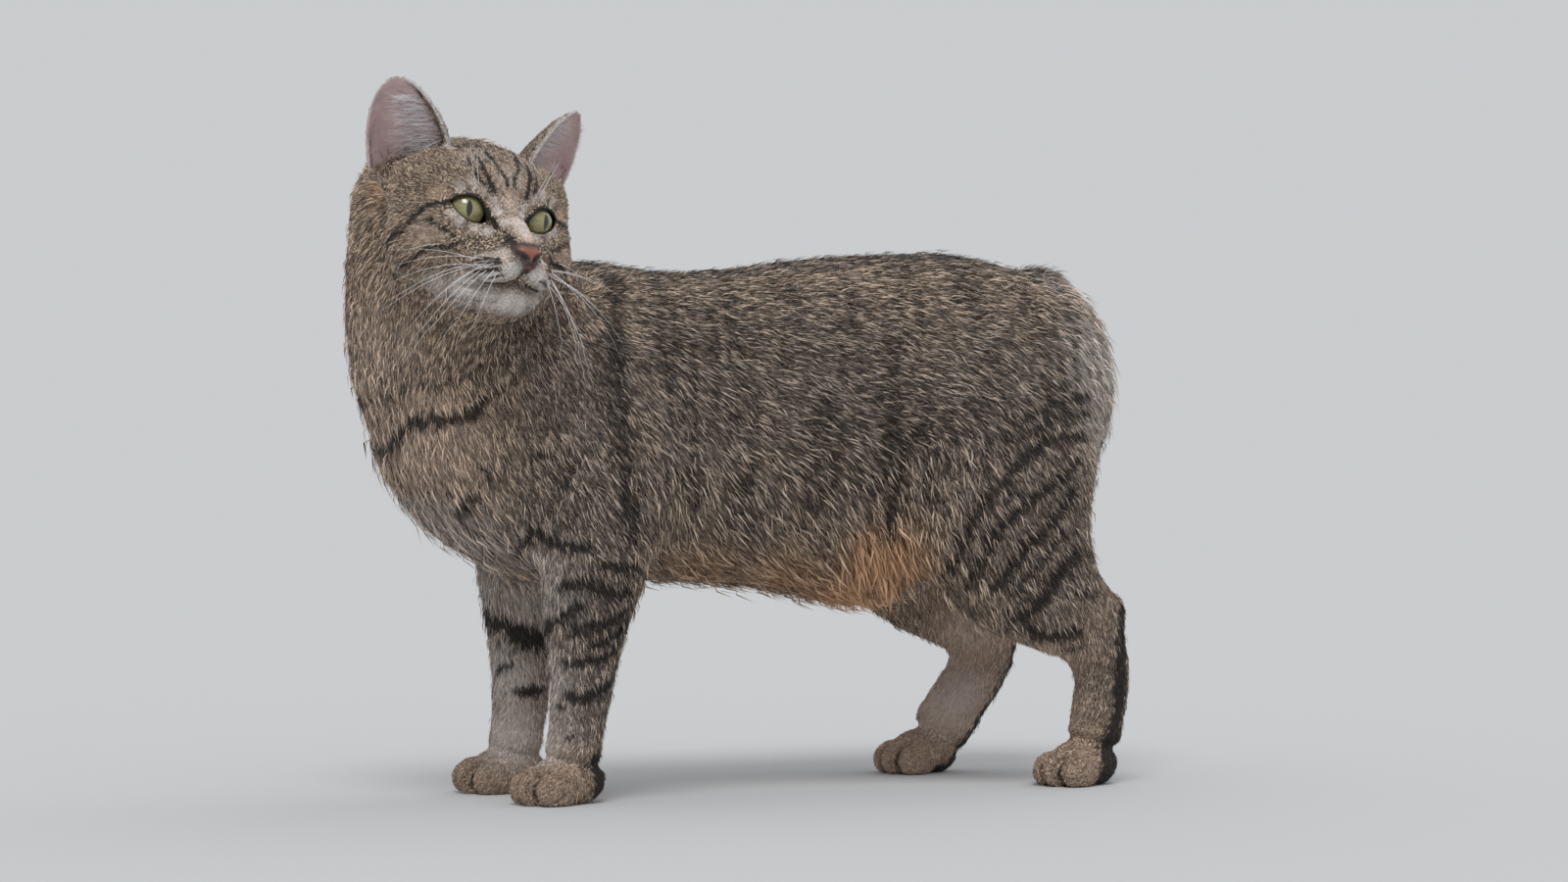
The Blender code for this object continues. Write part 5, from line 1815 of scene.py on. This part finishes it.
def eyeball(name, side, paint):
    centre, ahead, inward, high = eye_directions(side)
    rows = []
    for i in range(EYE_RINGS + 1):
        angle = math.pi * i / EYE_RINGS
        radius = EYE_RADIUS - EYE_GAP + CORNEA_BULGE * math.exp(-((angle / CORNEA_SPREAD) ** 2))
        spokes = np.linspace(0, math.tau, EYE_SPOKES, endpoint=False)
        rows.append(np.stack([
            np.full(EYE_SPOKES, radius * math.cos(angle)),
            radius * math.sin(angle) * np.cos(spokes),
            radius * math.sin(angle) * np.sin(spokes),
        ], 1))
    points = np.vstack(rows) * MM
    quads = []
    for ring in range(0, EYE_RINGS * EYE_SPOKES, EYE_SPOKES):
        for j in range(EYE_SPOKES):
            k = (j + 1) % EYE_SPOKES
            quads.append((ring + j, ring + EYE_SPOKES + j, ring + EYE_SPOKES + k, ring + k))
    obj = object_from(name, points, np.array(quads), paint)
    look = Matrix((ahead, inward * -side, high)).transposed()
    obj.matrix_world = Matrix.Translation(on_head(centre)) @ (HEAD_TURN @ look).to_4x4()
    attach(obj, "root")
    return obj


eye_material = material("eye", paint_eye)
for name, side in (("l", 1), ("r", -1)):
    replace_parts(eyeball(f"eyeball_{name}", side, eye_material), f"eye_{name}")
print("faces of an eyeball", EYE_RINGS * EYE_SPOKES)

# %% [markdown]
# The bare rims of the lids, the whiskers and the long hairs of the ears are all thin and round. A curve
# with a bevel could make them, but many hundred curves are slow, so one function lays thin tubes along
# lines of points and joins them in one mesh.

# %% Thin tubes
# A slanting way that hardly any tube follows, used to find the first side of each
TUBE_SIDEWAYS = (0.31, 0.17, 0.93)


def tube(points, radii, sides):
    """Points and faces of a thin tube along a line of points."""
    points, radii = np.array(points, float), np.broadcast_to(radii, len(points))
    ways = unit(np.gradient(points, axis=0))
    beside = unit(np.cross(ways, np.array(TUBE_SIDEWAYS)))
    above = np.cross(ways, beside)
    turns = np.linspace(0, math.tau, sides, endpoint=False)
    rings = points[:, None] + radii[:, None, None] * (
        beside[:, None] * np.cos(turns)[None, :, None] + above[:, None] * np.sin(turns)[None, :, None]
    )
    faces = []
    for i in range(len(points) - 1):
        for j in range(sides):
            k = (j + 1) % sides
            faces.append((i * sides + j, i * sides + k, (i + 1) * sides + k, (i + 1) * sides + j))
    return rings.reshape(-1, 3), np.array(faces)


def tubes_object(name, lines, paint, sides):
    """One object of many tubes. Each line is its points and its radii."""
    points, faces, total = [], [], 0
    for line, radii in lines:
        some, found = tube(line, radii, sides)
        points.append(some)
        faces.append(found + total)
        total += len(some)
    obj = object_from(name, leaned(np.vstack(points)), np.vstack(faces), paint)
    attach(obj, "root")
    return obj


# %% Rims of the lids
RIM_RADIUS, RIM_SIDES, RIM_SPAN = 0.42, 6, 10
# How far outside the eyeball the rims lie
RIM_RISE = 1.15


def paint_rim(tree):
    return {"Base Color": (0.014, 0.010, 0.008), "Roughness": 0.32, "Specular IOR Level": 0.5}


rim_material = material("rim", paint_rim)
rim_lines = []
for side in (1, -1):
    edge = [on_head(place) for place in lid_edge(side, EYE_RADIUS + RIM_RISE, RIM_SPAN)]
    rim_lines.append(([*edge, edge[0]], RIM_RADIUS * MM))
rims = tubes_object("lid_rims", rim_lines, rim_material, RIM_SIDES)
print("lid rims", len(rims.data.polygons), "faces")

# %% [markdown]
# ## Nose leather
#
# The tip of the nose is bare, damp and pebbled, brick-red with a dark edge. It could be painted on the
# skin, but its clean edge stands a little above the fur. So a grid with the leather's outline is thrown
# onto the skin from the front and lies a little above it. The nostrils are pits whose floors are painted
# black as the shade of the openings, and small bumps make the pebbles.

# %% The sheet of nose leather
LEATHER_ROWS = 70
# How high the leather stands above the skin and how far its edge sinks in, in millimetres
LEATHER_HEIGHT, LEATHER_SINK, LEATHER_EDGE = 0.55, 0.35, 6
# The sheet is thrown onto the skin from this far in front of the eyes
LEATHER_START = 60
# A nostril's path as left and up, its radius and depth, and how far its painted shade reaches
NOSTRIL = ((2.0, -24.2), (2.7, -22.6), (4.2, -21.4), (6.6, -20.6))
NOSTRIL_RADIUS, NOSTRIL_DEPTH, NOSTRIL_SHADE_REACH = 1.6, 0.7, 1.15


def leather_sheet():
    """Points and faces of the sheet, and its marks: nostril, height and distance from the middle."""
    rows, marks = [], []
    for i in range(LEATHER_ROWS + 1):
        share = i / LEATHER_ROWS
        height = LEATHER_BOTTOM + (LEATHER_TOP - LEATHER_BOTTOM) * share
        half = float(leather_half_width(np.array(height)))
        for j in range(LEATHER_ROWS + 1):
            across = 2 * j / LEATHER_ROWS - 1
            out = half * across
            edge = max(abs(across), abs(2 * share - 1))
            start, way = on_head((LEATHER_START, out, height)), HEAD_TURN @ Vector((-1, 0, 0))
            hit = skin_tree.ray_cast(start, way)[0]
            pit = float(distance_to_path(np.array([[abs(out), height]]), NOSTRIL)[0])
            dip = NOSTRIL_DEPTH * math.exp(-((pit / NOSTRIL_RADIUS) ** 2))
            rise = LEATHER_HEIGHT * (1 - edge**LEATHER_EDGE) - LEATHER_SINK - dip
            rows.append(hit - way * rise * MM)
            # The first mark is where the nostril is painted black as shade
            marks.append((math.exp(-((pit / NOSTRIL_RADIUS / NOSTRIL_SHADE_REACH) ** 2)), share, abs(across)))
    count = LEATHER_ROWS + 1
    faces = [
        (i * count + j, i * count + j + 1, (i + 1) * count + j + 1, (i + 1) * count + j)
        for i in range(LEATHER_ROWS)
        for j in range(LEATHER_ROWS)
    ]
    return np.array(rows), np.array(faces), np.array(marks)


# %% The finish of nose leather
NOSE_LIGHT, NOSE_DARK = (0.27, 0.095, 0.055), (0.050, 0.036, 0.036)
PEBBLES_PER_METRE, PEBBLE_HEIGHT = 1700.0, 0.00012


def paint_leather(tree):
    pit, height, across = make_node(tree, "ShaderNodeAttribute", attribute_name="leather").parts()
    inputs = {"Vector": place_wire(tree), "Scale": PEBBLES_PER_METRE}
    pebble = make_node(tree, "ShaderNodeTexVoronoi", inputs, feature="SMOOTH_F1")
    inputs = {"Strength": 0.35, "Distance": PEBBLE_HEIGHT, "Height": pebble}
    bump = make_node(tree, "ShaderNodeBump", inputs)
    top, side, bottom = height.step(0.74, 0.95), across.step(0.55, 1.0) * 0.9, (1 - height).step(0.74, 0.98)
    edge = (top + side + bottom).clamped()
    coloured = (edge * 0.85).mix(NOSE_LIGHT, NOSE_DARK)
    return {
        # Painted shade: the nostrils are black
        "Base Color": pit.step(0.2, 0.7).mix(coloured, BLACK_AND_SHADE),
        "Roughness": 0.45,
        "Specular IOR Level": 0.4,
        "Coat Weight": 0.05,
        "Normal": bump,
    }


sheet_points, sheet_faces, sheet_marks = leather_sheet()
leather = object_from("nose_leather", leaned(sheet_points), sheet_faces, material("nose", paint_leather))
set_values(leather.data, "leather", sheet_marks)
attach(leather, "root")
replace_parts(leather, "nose")
print("nose leather", len(sheet_faces), "faces")

# %% [markdown]
# ## Whiskers, brow hairs and the hairs in the ears
#
# A cat's whiskers stand in rows on the upper lip, with shorter ones over the eyes and on the cheeks. They
# are stiff single hairs, so each is a thin tapering tube that starts below the coat and sags at the tip.

# %% Long hairs
# Root as forward, left and up, then the way it grows, its length and how far its tip sags, in millimetres
WHISKERS = (
    ((17, 20.2, -24), (-0.12, 1.0, 0.16), 42, 8),
    ((21.5, 18.6, -23.6), (-0.06, 1.0, 0.08), 50, 12),
    ((15, 21.3, -26.6), (-0.12, 1.0, -0.05), 46, 13),
    ((19.5, 20.4, -26.5), (-0.05, 1.0, -0.15), 53, 18),
    ((24.3, 18.5, -26.2), (0.02, 1.0, -0.22), 52, 20),
    ((27, 16, -25.9), (0.08, 1.0, -0.25), 40, 16),
    ((17, 20.5, -30.2), (-0.05, 1.0, -0.55), 42, 16),
    ((21, 19.8, -30.2), (0.0, 1.0, -0.72), 50, 22),
    ((24.5, 18.5, -30), (0.05, 1.0, -0.92), 46, 20),
    ((27.5, 15.9, -29.6), (0.1, 0.9, -1.05), 38, 14),
    ((26.5, 14, -31.8), (0.06, 0.6, -1.1), 30, 10),
    ((9.5, 16, 14), (0.22, 0.25, 0.85), 17, -2),
    ((9, 18, 14.5), (0.18, 0.45, 0.85), 21, -2),
    ((4, 31, -18), (0.0, 1.0, -0.15), 18, 3),
)
WHISKER_RADIUS, WHISKER_SIDES = 0.16, 5
WHISKER_TURN, WHISKER_LENGTHS = 0.05, (0.85, 1.0)
HAIR_STEPS = 12
# The root lies this deep below the skin, and the tip keeps this little of the root's radius
HAIR_ROOT, HAIR_TIP = 1.2, 0.15


def long_hair(root, way, length, sag, base_radius, side):
    """A line from the skin outwards, with its radii. Place and way are on the head."""
    way = Vector(mirrored(way, side)).normalized()
    near = skin_tree.find_nearest(on_head(mirrored(root, side)))[0]
    line, radii = [], []
    for i in range(HAIR_STEPS + 1):
        share = i / HAIR_STEPS
        bent = way * (length * share) - Vector((0.25, 0, 1)) * (sag * share**2) - way * HAIR_ROOT
        line.append(near + HEAD_TURN @ bent * MM)
        radii.append(base_radius * (1 - (1 - HAIR_TIP) * share) * MM)
    return line, np.array(radii)


def paint_whisker(tree):
    return {"Base Color": (0.93, 0.91, 0.89), "Roughness": 0.35, "Specular IOR Level": 0.5}


# %% Whiskers and brow hairs
# A random source of their own, so that whiskers stay the same when the coat changes
chance = np.random.default_rng(7)
whisker_lines = []
for side in (1, -1):
    for root, way, length, sag in WHISKERS:
        turned_way = Vector(way) + Vector(chance.normal(0, WHISKER_TURN, 3).tolist())
        grown_length = length * chance.uniform(*WHISKER_LENGTHS)
        whisker_lines.append(long_hair(root, turned_way, grown_length, sag, WHISKER_RADIUS, side))
whiskers = tubes_object("whiskers", whisker_lines, material("whisker", paint_whisker), WHISKER_SIDES)
print("whiskers and brow hairs", len(whisker_lines))

# %% [markdown]
# Long pale hairs grow from the ear's edge nearest to the middle of the head and bend over its inside, and a
# short fringe follows the whole edge.

# %% Hairs in the ears
EAR_HAIRS, FRINGE_HAIRS = 400, 420
EAR_HAIR_LENGTHS, FRINGE_LENGTHS = (9.0, 21.0), (1.2, 2.8)
# Hairs near the tip of the ear are shorter by up to this share
EAR_HAIR_SHORTER = 0.55
EAR_HAIR_RADIUS, EAR_HAIR_SIDES = 0.14, 3
EAR_HAIR_STEPS = 4


def ear_hair_lines(side):
    """Lines and radii of the hairs in one ear."""
    _, _, rise, opening, across = ear_axes(side)
    medial = inner_side(side)
    lines = []
    for _ in range(EAR_HAIRS):
        share = chance.uniform(0.12, 0.82)
        bend = medial * chance.uniform(0.0, 0.62)
        start, inwards = ear_place(side, share, bend)
        way = -across * medial + opening * 0.35 + rise * chance.uniform(-0.1, 0.7) + inwards * 0.25
        way = (way + Vector(chance.normal(0, 0.24, 3).tolist())).normalized()
        length = chance.uniform(*EAR_HAIR_LENGTHS) * (1 - EAR_HAIR_SHORTER * share)
        curl = rise * chance.uniform(-0.4, 0.3)
        line, radii = [], []
        for i in range(EAR_HAIR_STEPS + 1):
            part = i / EAR_HAIR_STEPS
            line.append(on_head(start + way * (length * part) + curl * (length * part**2 * 0.5)))
            radii.append(EAR_HAIR_RADIUS * (1 - 0.8 * part) * MM)
        lines.append((line, np.array(radii)))
    for _ in range(FRINGE_HAIRS):
        share = chance.uniform(0.05, 0.97)
        bend = chance.choice((-1, 1)) * chance.uniform(0.93, 1.0)
        start, inwards = ear_place(side, share, bend, -EAR_THICKNESS / 2)
        way = (rise * 0.8 + opening * 0.5 + Vector(chance.normal(0, 0.25, 3).tolist())).normalized()
        length = chance.uniform(*FRINGE_LENGTHS)
        line = [on_head(start + way * (length * part)) for part in (0.0, 0.5, 1.0)]
        lines.append((line, np.array((1.0, 0.7, 0.2)) * EAR_HAIR_RADIUS * MM))
    return lines


def paint_ear_hair(tree):
    return {"Base Color": (0.97, 0.94, 0.95), "Roughness": 0.5, "Specular IOR Level": 0.35}


ear_lines = [*ear_hair_lines(1), *ear_hair_lines(-1)]
ear_hairs = tubes_object("ear_hairs", ear_lines, material("ear_hair", paint_ear_hair), EAR_HAIR_SIDES)
print("ear hairs", len(ear_hairs.data.polygons), "faces")

# %% [markdown]
# ## Floor, light and camera
#
# The cat stands on a plain pale floor that fades into the background. Small lamps would give hard shadows
# between the hairs, so the light is soft and mostly from above, as under a cloudy sky.

# %% Floor
FLOOR_HALF = 12.0
FLOOR_FADE = (1.3, 4.5)
PAPER = (0.585, 0.590, 0.596)


def paint_paper(tree):
    """Plain paper that fades into the background far from the cat."""
    across, along, _ = place_wire(tree).places()
    away = (across**2 + along**2) ** 0.5
    return {
        "Base Color": PAPER,
        "Roughness": 0.9,
        "Specular IOR Level": 0.1,
        "Alpha": 1 - away.step(*FLOOR_FADE),
    }


floor_corners = np.array([(-1, -1, 0), (1, -1, 0), (1, 1, 0), (-1, 1, 0)]) * FLOOR_HALF
floor = object_from("floor", floor_corners, np.array([(0, 1, 2, 3)]), material("paper", paint_paper))

# %% Light
SKY = (0.62, 0.635, 0.65)
SKY_STRENGTH = 0.95
world = bpy.data.worlds.new("sky") if scene.world is None else scene.world
scene.world = world
world.use_nodes = True
world.node_tree.nodes["Background"].inputs["Color"].default_value = (*SKY, 1)
world.node_tree.nodes["Background"].inputs["Strength"].default_value = SKY_STRENGTH
scene.view_settings.view_transform = "Standard"

# Two soft suns, as from a bright cloudy sky: the way of the light, its strength and its softness in degrees
SUNS = (
    ((0.30, 0.55, -1.0), 1.25, 26),
    ((-0.7, -0.2, -0.9), 0.33, 50),
)
for number, (way, strength, softness) in enumerate(SUNS):
    light = bpy.data.lights.new(f"sun_{number}", "SUN")
    light.energy, light.angle = strength, math.radians(softness)
    lamp = bpy.data.objects.new(light.name, light)
    scene.collection.objects.link(lamp)
    lamp.rotation_euler = Vector(way).to_track_quat("-Z", "Y").to_euler()
print("suns", len(SUNS), "and a sky of strength", SKY_STRENGTH)

# %% Camera
CAMERA_PLACE, CAMERA_WAY = (-0.61451, -1.43804, 0.15), (0.40354, 0.91496, 0)
camera_data = bpy.data.cameras.new("camera")
camera_data.lens = 69.75
camera_data.sensor_width = 36
camera_data.shift_y = 0.0375
camera_data.clip_end = 100
camera = bpy.data.objects.new("camera", camera_data)
scene.collection.objects.link(camera)
camera.location = CAMERA_PLACE
camera.rotation_euler = Vector(CAMERA_WAY).to_track_quat("-Z", "Y").to_euler()
scene.camera = camera
print("lens", camera_data.lens, "mm")
